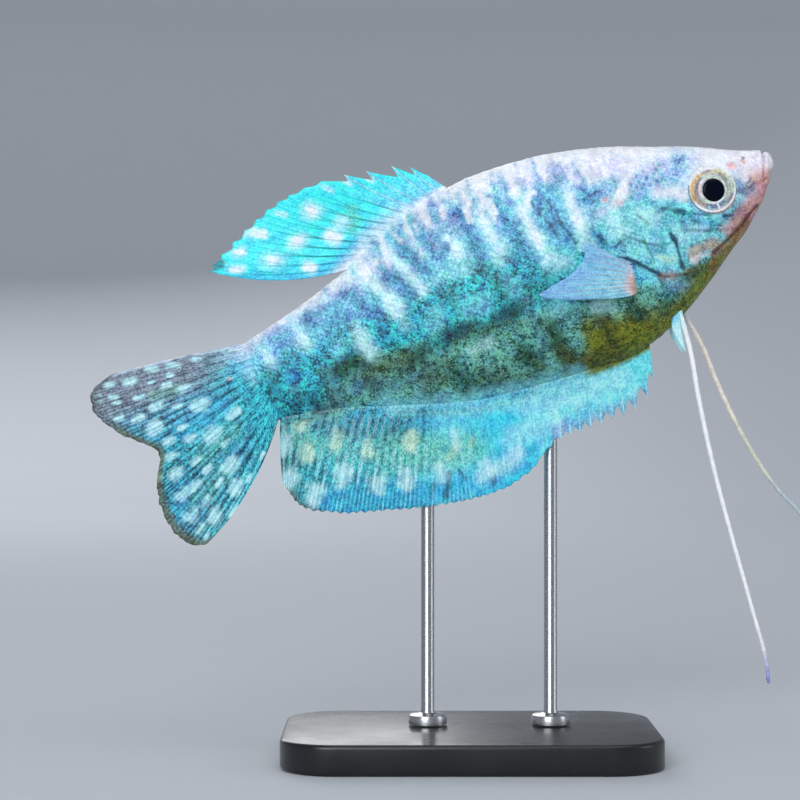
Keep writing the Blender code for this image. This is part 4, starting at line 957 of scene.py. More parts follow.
def girth_table():
    """For many stations: the ways from the widest level to the back and the keel, and the angles between."""
    stations = np.linspace(0.6, BODY_LENGTH - 0.6, 240)
    angles = np.linspace(0, math.pi, 181)
    shares = np.linspace(0, 1, 181)
    ends, rows = [], []
    for station in stations:
        ring = body_points(np.full(len(angles), station), angles)
        steps = np.linalg.norm(np.diff(ring, axis=0), axis=1)
        way = np.concatenate([[0], np.cumsum(steps)])
        ends.append((-np.interp(math.pi / 2, angles, way), way[-1]))
        rows.append(np.interp(shares, way / way[-1], angles))
    return stations, np.array(ends), np.array(rows)


def angles_at(table, s, way):
    """The angles of places that lie a given way down the section from its widest level."""
    stations, ends, rows = table
    where = np.clip((s - stations[0]) / (stations[1] - stations[0]), 0, len(stations) - 1.001)
    low = where.astype(int)
    part = where - low
    start, girth = (np.interp(s, stations, column) for column in ends.T)
    share = np.clip((way - start) / girth, 0, 0.9999) * (rows.shape[1] - 1)
    left = share.astype(int)
    rest = share - left
    first = rows[low, left] * (1 - rest) + rows[low, left + 1] * rest
    second = rows[low + 1, left] * (1 - rest) + rows[low + 1, left + 1] * rest
    return first * (1 - part) + second * part


def scale_pattern():
    """One plate: shares along and across its face, and the faces over the vertices."""
    along, across = np.meshgrid(
        np.linspace(0, 1, SCALE_ALONG + 1), np.linspace(-1, 1, SCALE_ACROSS + 1), indexing="ij"
    )
    index = np.arange(along.size).reshape(along.shape)
    quads = np.stack([index[:-1, :-1], index[:-1, 1:], index[1:, 1:], index[1:, :-1]], axis=-1).reshape(-1, 4)
    border = [*index[0, :-1], *index[:-1, -1], *index[-1, :0:-1], *index[:0:-1, 0]]
    return along.ravel(), across.ravel(), quads, np.array(border)


def build_scales(name, roots, kind, table, paints, seed):
    """A field of overlapping plates, each rooted under the one before it, with a raised rear edge."""
    along, across, quads, border = scale_pattern()
    count = len(along)
    chance = np.random.default_rng(seed)
    s0, way0, side, size = roots.T
    stray = chance.uniform(-1, 1, (2, len(s0))) * size
    s0 = s0 + 0.09 * stray[0]
    way0 = way0 + 0.09 * stray[1]
    lengths = kind["length"] * size * chance.uniform(0.96, 1.05, len(s0))
    # a plate is narrow at its root, widest behind the middle and round at its rear
    u = 1 - (1 - along) ** 1.15
    half = kind["row"] * 0.66 * np.sqrt(np.clip(1 - np.clip((u - 0.45) / 0.55, 0, 1) ** 2.6, 0.015, 1))
    half *= 0.72 + 0.28 * np.clip(u / 0.45, 0, 1)
    s = s0[:, None] + (u[None, :] - 0.35) * lengths[:, None]
    way = way0[:, None] + (across * half)[None, :] * size[:, None]
    edge = np.maximum(np.abs(across) ** 4, np.clip((u - 0.72) / 0.28, 0, 1) ** 3)
    lift = kind["lift"] * (1.15 * u - 0.42) + 0.02 * (1 - across**2) - 0.03 * edge
    lift = lift[None, :] * np.ones((len(s0), 1)) + chance.uniform(-0.008, 0.008, len(s0))[:, None]
    s, way, lift = np.clip(s, 0.7, BODY_LENGTH + 1.5).ravel(), way.ravel(), lift.ravel()
    angle = angles_at(table, s, way) * np.repeat(side, count)
    points = flesh_points(np.minimum(s, BODY_LENGTH - 0.3), angle, lift)
    points[:, 0] -= np.maximum(s - (BODY_LENGTH - 0.3), 0)
    seen = seen_from_side(points)
    values = body_paint(*seen, paints)
    shade = 1 + 0.09 * np.repeat(chance.uniform(-1, 1, len(s0)), count)
    rim = np.maximum(np.clip((np.abs(across) - 0.45) / 0.55, 0, 1), np.clip((u - 0.76) / 0.24, 0, 1))
    rim = np.tile(rim, len(s0))
    blue = np.clip((values[:, 2] - values[:, 0]) * 1.6, 0, 1)
    shoulder = smooth_step(9.0, 4.0, np.hypot((seen[0] - 37.0) * 0.75, seen[1] - 5.0))
    nape = smooth_step(31.0, 26.0, seen[0]) * smooth_step(2.0, 4.0, seen[1])
    net = (0.75 + 0.4 * shoulder) * (0.8 + 0.4 * patchy(*seen, 2.6, 51)) * (1 - 0.9 * nape)
    values = mixed(values, paints["ink"], rim * (0.03 + 0.4 * blue) * net)
    values = mixed(values, paints["shell"], 0.5 * rim * nape)
    values[:, :3] *= shade[:, None]
    mesh = bpy.data.meshes.new(name)
    offsets = (np.arange(len(s0)) * count)[:, None]
    all_quads = (quads[None] + offsets[:, :, None]).reshape(-1, 4)
    all_borders = border[::-1][None] + offsets
    loops = np.concatenate([all_quads.ravel(), all_borders.ravel()])
    sizes = np.concatenate([np.full(len(all_quads), 4), np.full(len(all_borders), len(border))])
    mesh.vertices.add(len(points))
    mesh.loops.add(len(loops))
    mesh.polygons.add(len(sizes))
    mesh.loops.foreach_set("vertex_index", loops.astype(np.int32))
    mesh.polygons.foreach_set("loop_start", np.concatenate([[0], np.cumsum(sizes)[:-1]]).astype(np.int32))
    mesh.update(calc_edges=True)
    move_vertices(mesh, to_row(points))
    store_paint(mesh, values)
    u_root, v_root = unwrap_place(s0, angles_at(table, s0, way0) * side)
    u_all = (u_root[:, None] + (along - 0.5)[None] * UNWRAPPED_SCALE).ravel()
    v_all = (v_root[:, None] + (across * 0.5)[None] * UNWRAPPED_SCALE).ravel()
    uv = mesh.uv_layers.new(name="OFBake")
    uv.data.foreach_set("uv", np.stack([u_all[loops], v_all[loops]], axis=1).astype(np.float32).ravel())
    mesh.validate()
    piece = bpy.data.objects.new(name, mesh)
    bpy.context.scene.collection.objects.link(piece)
    face_outwards(piece)
    deselect_all()
    piece.select_set(True)
    bpy.context.view_layer.objects.active = piece
    bpy.ops.object.shade_smooth_by_angle(angle=math.radians(50))
    finish_piece(piece, smooth=False)
    return piece


def scale_roots(table, kind, first, last, keep, size_at):
    """Roots of a field of plates in staggered columns, on both sides: station, way, side and size."""
    stations, ends, _ = table
    roots = []
    s, column = first, 0
    while s < last:
        size = float(size_at(s))
        low = np.interp(s, stations, ends[:, 0])
        high = low + np.interp(s, stations, ends[:, 1])
        step = kind["row"] * size
        for k in range(int(math.floor(low / step)), int(math.ceil(high / step)) + 1):
            way = (k + 0.5 * (column % 2)) * step
            if low + 0.25 * step < way < high - 0.25 * step:
                roots += [(s, way, side, size) for side in (-1, 1)]
        s += kind["column"] * size
        column += 1
    roots = np.array(roots)
    angle = angles_at(table, roots[:, 0], roots[:, 1]) * roots[:, 2]
    seen = seen_from_side(body_points(roots[:, 0], angle))
    return roots[keep(*seen)]


def on_nape(s, z):
    return (s > 17.0 + 0.5 * np.clip(6.0 - z, 0, 6)) & (z > 3.4)


def on_body(s, z):
    """Body scales start behind the gill cover, and on the nape behind the eyes."""
    behind = s > line_station(COVER_LINE, z) + 0.9
    return (behind | on_nape(s, z)) & (s > 15.0 - 0.4 * z)


def on_cheek(s, z):
    """Small scales cover the gill cover and the cheek, clear of the eye, the jaws and the bone's edge."""
    inside = s < line_station(COVER_LINE, z) - 1.0
    clear_of_eye = np.hypot(s - 11.3, z + 0.6) > 6.0
    clear_of_jaw = z > np.interp(s, (12, 16, 20, 30), (-6.0, -7.2, -10.0, -10.5))
    clear_of_bone = distance_to(PREOPERCLE, s + 0.22, z) > 0.85
    clear = clear_of_eye & clear_of_jaw & clear_of_bone & ~on_nape(s, z)
    return inside & clear & (s > 13.0) & (z < 6.0)


def edge_points(edge, u):
    """Stations and heights at the shares u of a fin's root line or of the line of its tips."""
    shares, *axes = zip(*edge)
    return np.stack([curve_through(shares, axis, u) for axis in axes], axis=1)


def flank_width(s, z):
    """The body's half width at a station and height."""
    back, belly, width, level, back_edge, belly_edge = body_section(np.array([s]))
    if z > level[0]:
        share, sharpness = (z - level[0]) / (back[0] - level[0]), back_edge[0]
    else:
        share, sharpness = (level[0] - z) / (level[0] - belly[0]), belly_edge[0]
    return width[0] * math.sqrt(1 - share**2) ** sharpness


def on_middle_plane(flat):
    return np.zeros(len(flat))


def swung_out(side):
    """Distance out of a pectoral fin: on the flank at its root, and further out towards its tips."""
    (_, s0, z0), (_, s1, z1) = FINS["pectoral_fin"]["root"]
    root_station = (s0 + s1) / 2
    root_width = flank_width(root_station, (z0 + z1) / 2)
    return lambda flat: side * (root_width + (flat[:, 0] - root_station) * math.tan(PECTORAL_SWING))


def beside_middle(side):
    return lambda flat: np.full(len(flat), side * PELVIC_SIDE)


def distance_to_ray(fin, ray, part, v):
    """Distance to the nearest ray or branch of a ray, as a share of the gap between rays."""
    first, first_spread, second, second_spread = fin["branches"]
    spread = first_spread * smooth_step(first - 0.12, first + 0.3, v)
    finer = second_spread * smooth_step(second - 0.08, second + 0.3, v)
    away = np.full(len(v), np.inf)
    for root in (0, 1):
        for way in (-1, 1):
            for fine_way in (-1, 1):
                away = np.minimum(away, np.abs(part - root - way * spread - fine_way * finer))
    return np.where(ray < len(fin["spine_notches"]), np.minimum(part, 1 - part), away)


def edge_notches(fin, ray, part):
    """How far the web's edge falls short of the rays' tips, as a share of the rays' length."""
    notches, lowest = fin["spine_notches"], fin["lowest"]
    depth, power = fin["soft_notch"]
    soft = depth * np.sin(math.pi * part) ** power
    if not notches:
        return soft
    tooth = np.where(part < lowest, part / lowest, (1 - part) / (1 - lowest)) ** 0.85
    return np.where(ray < len(notches), np.interp(ray, np.arange(len(notches)), notches) * tooth, soft)


def build_fin(name, fin, out_at, paint_fin, paints, sizes):
    """A fin as one closed sheet: webs between raised rays, thick at the root and thin at the edge."""
    columns = fin["rays"] * fin["columns"]
    deselect_all()
    bpy.ops.mesh.primitive_grid_add(x_subdivisions=columns, y_subdivisions=fin["rows"], size=2)
    piece = added(name)
    unit = vertex_places(piece.data)
    wall = piece.modifiers.new("wall", "SOLIDIFY")
    wall.thickness = 0.1
    bpy.ops.object.modifier_apply(modifier=wall.name)
    unit = np.concatenate([unit, unit])
    face = np.repeat([1.0, -1.0], len(unit) // 2)
    column = np.round((unit[:, 0] + 1) / 2 * columns)
    along = (unit[:, 1] + 1) / 2
    u = column / columns
    ray, part = np.divmod(column / fin["columns"], 1)
    spiny = ray < len(fin["spine_notches"])
    full = 1 - edge_notches(fin, ray, part) + 0.008 * patchy(u * columns * 0.2, 0 * u, 1.0, 5) * ~spiny
    start, end = edge_points(fin["root"], u), edge_points(fin["tips"], u)
    length = np.linalg.norm(end - start, axis=1)
    v = -FIN_ROOT_DEPTH / length * (1 - along) + full * along
    shown = np.clip(v, 0, 1)
    inset = np.clip(-v * length / FIN_ROOT_DEPTH, 0, 1)
    across = np.stack([-(end - start)[:, 1], (end - start)[:, 0]], axis=1) / length[:, None]
    bow = np.interp(u, (0, 1), fin["bulge"]) * 4 * shown * (1 - shown)
    flat = start + (end - start) * v[:, None] + across * bow[:, None]
    middle = np.mean([place[1:] for place in fin["root"]], axis=0)
    flat += (middle - flat) * (fin["gather"] * inset)[:, None]
    before, behind = np.clip(u - 0.01, 0, 1), np.clip(u + 0.01, 0, 1)
    gap = behind - before
    at_root = edge_points(fin["root"], behind) - edge_points(fin["root"], before)
    at_tips = edge_points(fin["tips"], behind) - edge_points(fin["tips"], before)
    spread = at_root * (1 - shown)[:, None] + at_tips * shown[:, None]
    spacing = np.linalg.norm(spread, axis=1) / gap / fin["rays"]
    away = distance_to_ray(fin, ray, part, shown) * spacing
    ridge = np.where(spiny, SPINE_WIDTH * (1.2 - 0.7 * shown), RAY_WIDTH * (1.25 - 0.5 * shown))
    raised = np.exp(-((away / ridge) ** 2))
    edge = sizes.web_edge / MM
    half = edge + (fin["root_half"] - edge) * np.clip(1 - v / 0.55, 0, 1) ** 1.8
    half = np.minimum(half, fin["root_half"]) * (1 - 0.5 * inset)
    rise = sizes.ray_height / MM * raised * (1.15 - 0.6 * shown)
    half += rise * smooth_step(-0.01, fin["smooth_root"], shown)
    half *= 1 - 0.45 * smooth_step(0.96, 1.0, along)
    out = out_at(flat)
    sign = np.where(out < -1, -1, 1)
    out = out + sign * (fin["wave"] * shown**2 * np.sin(u * 9.5 + 1.4 * v) - fin["dive"] * inset)
    points = np.stack([-flat[:, 0], out + face * half, flat[:, 1]], axis=1)
    move_vertices(piece.data, to_row(points))
    s, z = seen_from_side(np.stack([-flat[:, 0], out_at(flat), flat[:, 1]], axis=1))
    line = np.exp(-((away / fin["line"]) ** 2))
    store_paint(piece.data, paint_fin(s, z, u, shown, line, spiny, paints))
    layer = piece.data.uv_layers[0]
    layer.name = "RayMap"
    corner = np.empty(len(piece.data.loops), np.int64)
    piece.data.loops.foreach_get("vertex_index", corner)
    strip = np.stack([u * fin["rays"] * spacing.mean(), v * length * 0.7], axis=1)
    layer.data.foreach_set("uv", strip[corner].astype(np.float32).ravel())
    face_outwards(piece)
    return piece


def ground_by(paints, share, names):
    """Paints laid one after another along a share from 0 to 1, blended between."""
    places = np.clip(share, 0, 1) * (len(names) - 1)
    low = np.minimum(places.astype(int), len(names) - 2)
    part = smooth_step(0, 1, places - low)[:, None]
    stack = np.array([paints[name] for name in names])
    return stack[low] * (1 - part) + stack[low + 1] * part


def spots(paint, width, strength, fan, length, places):
    """Marks for a fin's spots, each drawn out along the rays, which spread from the fan's middle."""
    marks = []
    for s, z in places:
        reach = math.hypot(s - fan[0], z - fan[1])
        ds, dz = (s - fan[0]) / reach * length / 2, (z - fan[1]) / reach * length / 2
        marks.append((paint, width, strength, (s - ds, z - dz), (s + ds, z + dz)))
    return marks


CAUDAL_FAN, DORSAL_FAN, ANAL_FAN = (84.0, -0.8), (55.8, 6.0), (62.0, 14.0)
DORSAL_MARKS = (
    ("azure", 1.0, 0.8, (72.0, 11.2), (80.0, 12.4), (86.0, 14.8), (90.4, 17.6)),
    ("azure", 1.3, 0.7, (66.4, 14.8), (69.6, 13.4), (71.0, 12.4)),
    ("azure", 1.0, 0.5, (80.4, 15.4), (82.4, 14.8)),
    ("meadow", 0.9, 0.5, (68.4, 17.2), (67.8, 19.8)),
    ("navy", 0.7, 0.8, (91.4, 20.0), (93.4, 19.8)),
    ("azure", 0.6, 0.4, (86.4, 21.2), (80.0, 20.2)),
    ("ice", 1.3, 0.6, (60.6, 15.6), (64.6, 15.0), (67.2, 14.0)),
    *spots("ice", 1.1, 0.9, DORSAL_FAN, 0.6, ((73.7, 22.1), (77.9, 18.6), (83.0, 17.3))),
    *spots("snow", 0.62, 0.9, DORSAL_FAN, 0.5, ((73.7, 22.1), (77.9, 18.6), (83.0, 17.3))),
    *spots("ice", 0.78, 0.9, DORSAL_FAN, 0.5, ((77.9, 13.7), (70.0, 18.6))),
    *spots("ice", 0.72, 0.9, DORSAL_FAN, 1.4, (
        (83.4, 22.1), (71.9, 17.0), (72.6, 16.4), (87.6, 20.6), (89.2, 18.0),
    )),
    *spots("snow", 0.46, 0.9, DORSAL_FAN, 1.2, (
        (83.4, 22.1), (72.2, 16.8), (77.9, 13.7), (87.6, 20.6), (89.2, 18.0),
    )),
    *spots("ice", 0.4, 0.8, DORSAL_FAN, 1.8, (
        (78.7, 23.8), (70.0, 24.6), (66.8, 24.6), (63.0, 23.6), (84.6, 22.4),
    )),
)
CAUDAL_MARKS = (
    ("smoke", 1.8, 0.7, (98.0, 6.4), (106.0, 7.6), (112.0, 8.2)),
    ("meadow", 0.9, 0.35, (106.0, 3.6), (110.0, 4.0)),
    ("meadow", 1.4, 0.35, (106.0, -8.6), (100.0, -6.4)),
    ("meadow", 1.2, 0.35, (105.0, -12.4), (110.0, -14.6)),
    ("azure", 1.4, 0.5, (100.0, -1.6), (108.0, -3.6)),
    ("azure", 1.2, 0.4, (111.0, -10.6), (113.0, -14.4)),
    ("frost", 0.42, 0.95, (92.4, 6.5), (98.0, 7.3), (104.0, 8.5), (110.0, 9.5), (115.0, 10.2)),
    ("ice", 0.9, 0.25, (93.8, 3.6), (93.8, -0.6)),
    ("pink", 0.3, 0.5, (97.6, 1.9), (97.0, 1.7)),
    *spots("pearl", 0.8, 0.95, CAUDAL_FAN, 1.2, (
        (111.8, -0.8), (111.6, -9.1), (111.9, -12.9), (111.6, -16.4), (103.6, -5.6), (108.6, -18.1),
        (103.6, 0.0), (103.2, -15.4), (102.6, -11.3),
    )),
    *spots("pearl", 0.56, 0.95, CAUDAL_FAN, 1.3, (
        (112.7, 7.8), (108.7, 8.4), (104.8, 7.5), (113.7, 1.6), (110.3, 2.4), (104.6, 3.3), (110.8, -3.8),
        (98.8, -3.8), (107.0, -4.7), (111.0, -6.3), (109.2, -12.2), (109.0, -15.6), (105.0, -18.7),
        (111.4, -19.2),
    )),
    *spots("pearl", 0.4, 0.95, CAUDAL_FAN, 1.1, (
        (115.8, 8.6), (116.0, 6.5), (112.2, 4.8), (107.3, 5.0), (107.0, 1.0), (116.6, 3.0), (107.4, -2.6),
        (107.7, -8.5), (105.6, -13.4), (114.6, -8.8), (100.6, -14.6), (97.2, -12.0), (101.8, -7.6),
        (111.0, -20.8), (106.6, -10.6), (101.0, 7.0),
    )),
    *spots("pearl", 0.3, 1.0, CAUDAL_FAN, 0.9, (
        (118.5, 7.8), (118.6, 6.8), (116.0, 5.5), (109.4, 6.4), (106.0, 6.2),
    )),
)
ANAL_MARKS = (
    ("ice", 1.8, 0.36, (38.0, -23.6), (46.0, -22.8), (54.0, -21.4)),
    ("ice", 1.6, 0.4, (50.0, -26.0), (58.0, -25.4)),
    (
        "aqua", 1.4, 0.8, (44.0, -21.2), (56.0, -19.6), (62.0, -18.4), (66.0, -17.2), (70.0, -15.2),
        (74.0, -13.4),
    ),
    ("azure", 1.3, 0.35, (63.0, -21.4), (60.0, -23.4)),
    ("lagoon", 2.1, 0.95, (83.6, -11.6), (78.4, -14.0), (74.0, -15.8), (70.4, -17.2)),
    ("deep_teal", 1.5, 0.7, (86.0, -11.0), (80.0, -15.2), (72.0, -18.4)),
    ("azure", 1.3, 0.45, (71.0, -17.8), (64.0, -19.8)),
    ("meadow", 2.8, 0.6, (78.0, -20.4), (70.0, -23.0), (65.0, -25.0)),
    ("meadow", 1.8, 0.45, (90.0, -12.6), (84.0, -17.0)),
    ("gold", 0.6, 0.18, (69.0, -24.6), (66.0, -22.4)),
    ("gold", 0.4, 0.18, (64.6, -23.8), (63.8, -23.2)),
    ("azure", 2.2, 0.9, (90.0, -23.8), (82.0, -26.4), (74.0, -28.8), (66.0, -30.4), (58.0, -29.8)),
    ("azure", 1.0, 0.5, (56.0, -28.8), (50.0, -27.2), (44.0, -26.8)),
    ("ice", 1.1, 0.6, (64.6, -29.4), (58.0, -28.4)),
    ("ink", 0.4, 0.7, (71.8, -30.2), (69.8, -26.8)),
    ("ink", 0.35, 0.6, (64.0, -31.8), (63.2, -30.4)),
    ("ink", 0.35, 0.5, (74.2, -29.4), (73.0, -27.4)),
    ("ink", 0.3, 0.5, (67.6, -28.6), (68.4, -26.4)),
    ("weed", 0.4, 0.6, (95.6, -18.0), (94.4, -22.2), (92.0, -24.2)),
    *spots("cream", 0.95, 0.85, ANAL_FAN, 1.0, (
        (90.4, -14.6), (85.0, -14.6), (80.8, -17.8), (73.6, -19.6), (88.6, -9.4),
    )),
    *spots("pearl", 1.0, 1.0, ANAL_FAN, 1.4, (
        (94.8, -17.4), (91.6, -21.2), (86.4, -20.6), (81.6, -23.8), (76.8, -24.8),
    )),
    *spots("ice", 0.9, 0.6, ANAL_FAN, 1.4, ((71.0, -26.4), (66.6, -21.8), (63.6, -28.4), (93.4, -12.0))),
)


def over_body(values, s, z, v, reach, paints):
    """A fin's root carries the body's own markings, which fade out over a share of its rays."""
    share = smooth_step(0.0, reach, v)[:, None]
    return body_paint(s, z, paints) * (1 - share) + values * share


def paint_dorsal(s, z, u, v, line, spiny, paints):
    values = np.tile(paints["cyan"], (len(s), 1))
    values = mixed(values, paints["azure"], 0.7 * smooth_step(0.34, 0.06, v))
    values = mixed(values, paints["sky"], 0.5 * spiny * smooth_step(0.9, 0.3, v))
    streak = 0.75 + 0.5 * patchy(u * 30, v * 1.4, 1.0, 86)
    values = mixed(values, paints["ink"], ~spiny * streak * line * smooth_step(0.97, 0.2, v))
    marked = add_marks(values.copy(), DORSAL_MARKS, s, z, paints, 1.0)
    values = marked * (1 - 0.25 * line[:, None]) + values * 0.25 * line[:, None]
    # a mauve band along each side of a spine is painted shade beside the raised spine
    values = mixed(values, paints["mauve"], spiny * 0.5 * smooth_step(0.0, 0.3, line) * (1 - line))
    values = mixed(values, paints["frost"], 0.85 * spiny * smooth_step(0.6, 0.9, line))
    return over_body(values, s, z, v, 0.2, paints)


def paint_caudal(s, z, u, v, line, spiny, paints):
    values = ground_by(paints, u * 1.05, ("smoke", "smoke", "lagoon", "turquoise", "lagoon", "turquoise"))
    values = mixed(values, paints["turquoise"], 0.9 * smooth_step(0.42, 0.08, v))
    low = smooth_step(0.1, 0.4, u)
    between = smooth_step(0.2, 0.0, line)
    values = mixed(values, paints["aqua"], 0.38 * low * between * smooth_step(0.1, 0.4, v))
    dark_line = 0.8 + 0.35 * patchy(s, z, 2.4, 83) + 0.6 * patchy(u * 36, v * 1.6, 1.0, 85)
    values = mixed(values, paints["ink"], (0.36 + 0.4 * low) * dark_line * line * smooth_step(0.05, 0.3, v))
    bright = add_marks(values.copy(), CAUDAL_MARKS, s, z, paints)
    values = bright * (1 - 0.3 * line[:, None]) + values * 0.3 * line[:, None]
    values = mixed(values, paints["weed"], 0.8 * smooth_step(0.925, 0.975, v) * smooth_step(0.22, 0.34, u))
    values = mixed(values, paints["bark"], 0.7 * smooth_step(0.92, 0.97, v) * smooth_step(0.34, 0.2, u))
    return over_body(values, s, z, v, 0.24, paints)


def paint_anal(s, z, u, v, line, spiny, paints):
    values = ground_by(paints, u, ("aqua", "aqua", "azure", "aqua", "turquoise", "turquoise", "teal"))
    values = mixed(values, paints["cyan"], 0.4 * smooth_step(0.8, 0.4, u))
    values = add_marks(values, ANAL_MARKS, s, z, paints)
    rear = smooth_step(0.45, 0.75, u)
    fade = 0.7 + 0.5 * patchy(s, z, 2.6, 82)
    values = mixed(values, paints["ink"], line * fade * (0.2 + 0.36 * rear) * smooth_step(0.3, 0.75, v))
    streak = smooth_step(0.0, 0.6, patchy(u * 52, z / 3.4, 1.0, 84)) * smooth_step(0.35, 0.6, v)
    values = mixed(values, paints["ice"], (0.28 * rear * fade + 0.32 * streak) * smooth_step(0.25, 0.0, line))
    between = spiny * smooth_step(0.7, 0.1, line)
    values = mixed(values, paints["violet"], 0.6 * between * smooth_step(0.62, 0.85, v))
    spines = spiny * smooth_step(0.5, 0.95, line)
    values = mixed(values, paints["frost"], 0.8 * spines * smooth_step(0.45, 0.8, v))
    return over_body(values, s, z, v, 0.14, paints)


def paint_pectoral(s, z, u, v, line, spiny, paints):
    values = np.tile(paints["glass"], (len(s), 1))
    values = mixed(values, paints["aqua"], 0.55 * smooth_step(0.8, 0.3, v) * smooth_step(0.05, 0.5, u))
    values = mixed(values, paints["periwinkle"], 0.4 * smooth_step(0.7, 1.0, v))
    values = mixed(values, paints["frost"], 0.5 * smooth_step(0.45, 0.1, v) * line)
    values = mixed(values, paints["tan"], 0.4 * line * smooth_step(0.95, 0.3, v))
    root = smooth_step(0.16, 0.03, v)
    values = mixed(values, paints["pink"], 0.6 * root * smooth_step(0.1, 0.4, u))
    values = mixed(values, paints["tan"], 0.7 * smooth_step(0.07, 0.0, v) * smooth_step(0.3, 0.6, u))
    return mixed(values, paints["lilac"], 0.6 * root * smooth_step(0.4, 0.1, u))


def paint_pelvic(s, z, u, v, line, spiny, paints):
    values = ground_by(paints, v, ("sky", "pearl", "ice", "pearl"))
    return mixed(values, paints["azure"], 0.5 * (1 - line) * smooth_step(0.5, 1.0, u))


def build_feeler(name, points, side, tones, paints):
    """One tapering thread, closed at both ends, from inside the body to its tip."""
    deselect_all()
    bpy.ops.mesh.primitive_uv_sphere_add(segments=16, ring_count=260, radius=1)
    piece = added(name)
    unit = vertex_places(piece.data)
    share = np.arccos(np.clip(unit[:, 2], -1, 1)) / math.pi
    angle = np.arctan2(unit[:, 1], unit[:, 0])
    route = np.array(points)
    way = np.concatenate([[0], np.cumsum(np.linalg.norm(np.diff(route, axis=0), axis=1))])
    where = share * way[-1]
    wheres = [np.clip(where + step, 0, way[-1]) for step in (0.0, 0.2, -0.2)]
    place, ahead, behind = (
        np.stack([curve_through(way, column, at) for column in route.T], axis=1) for at in wheres
    )
    tangent = ahead - behind
    tangent /= np.linalg.norm(tangent, axis=1)[:, None]
    across = np.cross(tangent, np.array([[0.0, 0.0, 1.0]]))
    across /= np.linalg.norm(across, axis=1)[:, None]
    over = np.cross(tangent, across)
    uneven = 1 + 0.05 * np.sin(where * 2.1) + 0.04 * np.sin(where * 5.3)
    radius = np.interp(share, (0, 1), FEELER_RADII) * uneven
    radius *= np.sqrt(np.clip(1 - (1 - np.minimum(1, (1 - share) * way[-1] / 0.8)) ** 2, 0, 1))
    radius = np.where(share < 0.001, 0.0, radius)
    turned = across * np.cos(angle)[:, None] * radius[:, None]
    spot = place + (turned + over * np.sin(angle)[:, None] * radius[:, None])
    fish = np.stack([-spot[:, 0], side * spot[:, 2], spot[:, 1]], axis=1)
    move_vertices(piece.data, to_row(fish))
    values = ground_by(paints, share, tones)
    values[:, :6] *= (1 + 0.05 * patchy(where, angle, 0.8, 61))[:, None]
    store_paint(piece.data, values)
    face_outwards(piece)
    return piece


# Section of the eyeball from the front of the lens round to the back: radius and height
EYE_PROFILE = (
    (0.0, 2.3), (1.0, 2.24), (1.6, 2.12), (1.82, 2.02), (1.9, 1.93), (1.98, 1.96), (2.3, 1.93), (3.0, 1.78),
    (3.4, 1.62), (3.55, 1.54), (3.62, 1.5), (3.72, 1.57), (3.85, 1.58), (4.0, 1.47), (4.12, 1.22),
    (4.2, 0.8), (4.2, 0.0), (3.6, -1.1), (2.2, -1.9), (0.0, -2.2),
)
EYE_RIM = 15  # the point of the section where the rim turns inwards
EYE_FRONT_SHARE = 0.85  # share of the eyeball's rings that lie in front of that point
EYE_CENTRE_SEEN = (11.15, -0.5)


def arc(radius, first, last, steps=10):
    """Points of an arc round the pupil, as the camera sees it. Angles run from the snout's side upwards."""
    angles = np.radians(np.linspace(first, last, steps))
    s, z = EYE_CENTRE_SEEN
    return tuple((s - radius * math.cos(a), z + radius * math.sin(a)) for a in angles)


EYE_MARKS = (
    ("snow", 0.42, 0.95, *arc(3.85, 20, 170)),
    ("cream", 0.2, 0.9, *arc(3.85, 160, 200)),
    ("snow", 0.2, 0.9, *arc(3.72, 190, 290)),
    ("steel", 0.16, 0.7, *arc(4.0, 150, 250)),
    ("rose", 0.14, 0.75, *arc(4.05, 250, 335)),
    ("pink", 0.12, 0.8, *arc(3.86, 280, 350)),
    ("snow", 0.12, 0.7, *arc(3.72, 280, 370)),
    ("gold", 0.34, 0.8, *arc(3.2, 116, 190)),
    ("gold", 0.24, 0.5, *arc(3.05, 92, 130)),
    ("straw", 0.4, 0.6, *arc(2.95, 70, 120)),
    ("shell", 0.22, 0.6, *arc(3.3, 40, 100)),
    ("straw", 0.42, 0.9, *arc(2.95, 20, 62)),
    ("lead", 0.3, 0.7, *arc(2.55, 118, 150)),
    ("lead", 0.32, 0.75, *arc(2.6, 150, 178)),
    ("lead", 0.26, 0.6, *arc(3.1, 78, 100)),
    ("lead", 0.25, 0.6, *arc(2.7, 10, 45)),
    ("lead", 0.3, 0.5, *arc(2.9, 190, 235)),
    ("tan", 0.24, 0.5, *arc(2.9, 200, 225)),
    ("steel", 0.4, 0.85, *arc(2.9, 238, 300)),
    ("steel", 0.28, 0.8, *arc(3.3, 298, 350)),
    ("straw", 0.3, 0.6, *arc(2.85, 300, 350)),
    ("lead", 0.16, 0.5, *arc(2.5, 320, 380)),
    ("cream", 0.2, 0.6, *arc(3.4, 330, 380)),
    ("mint", 0.2, 0.6, *arc(2.15, -30, 125)),
    ("pink", 0.24, 0.7, *arc(2.2, 130, 190)),
    ("shell", 0.18, 0.8, *arc(2.12, 110, 200)),
    ("mint", 0.2, 0.8, *arc(2.25, 195, 240)),
    # low round the pupil the pale ring is drawn in snow and pearl, with painted highlights in it
    ("snow", 0.14, 0.8, *arc(2.35, 236, 300)),
    ("snow", 0.16, 0.9, (11.3, -3.2), (11.3, -4.1)),
    ("pearl", 0.2, 0.8, (12.8, -3.1), (12.9, -3.6)),
    # pearl arc low on the snout's side of the pupil: the pale ring with a painted highlight
    ("pearl", 0.16, 0.6, *arc(2.3, 290, 340)),
)


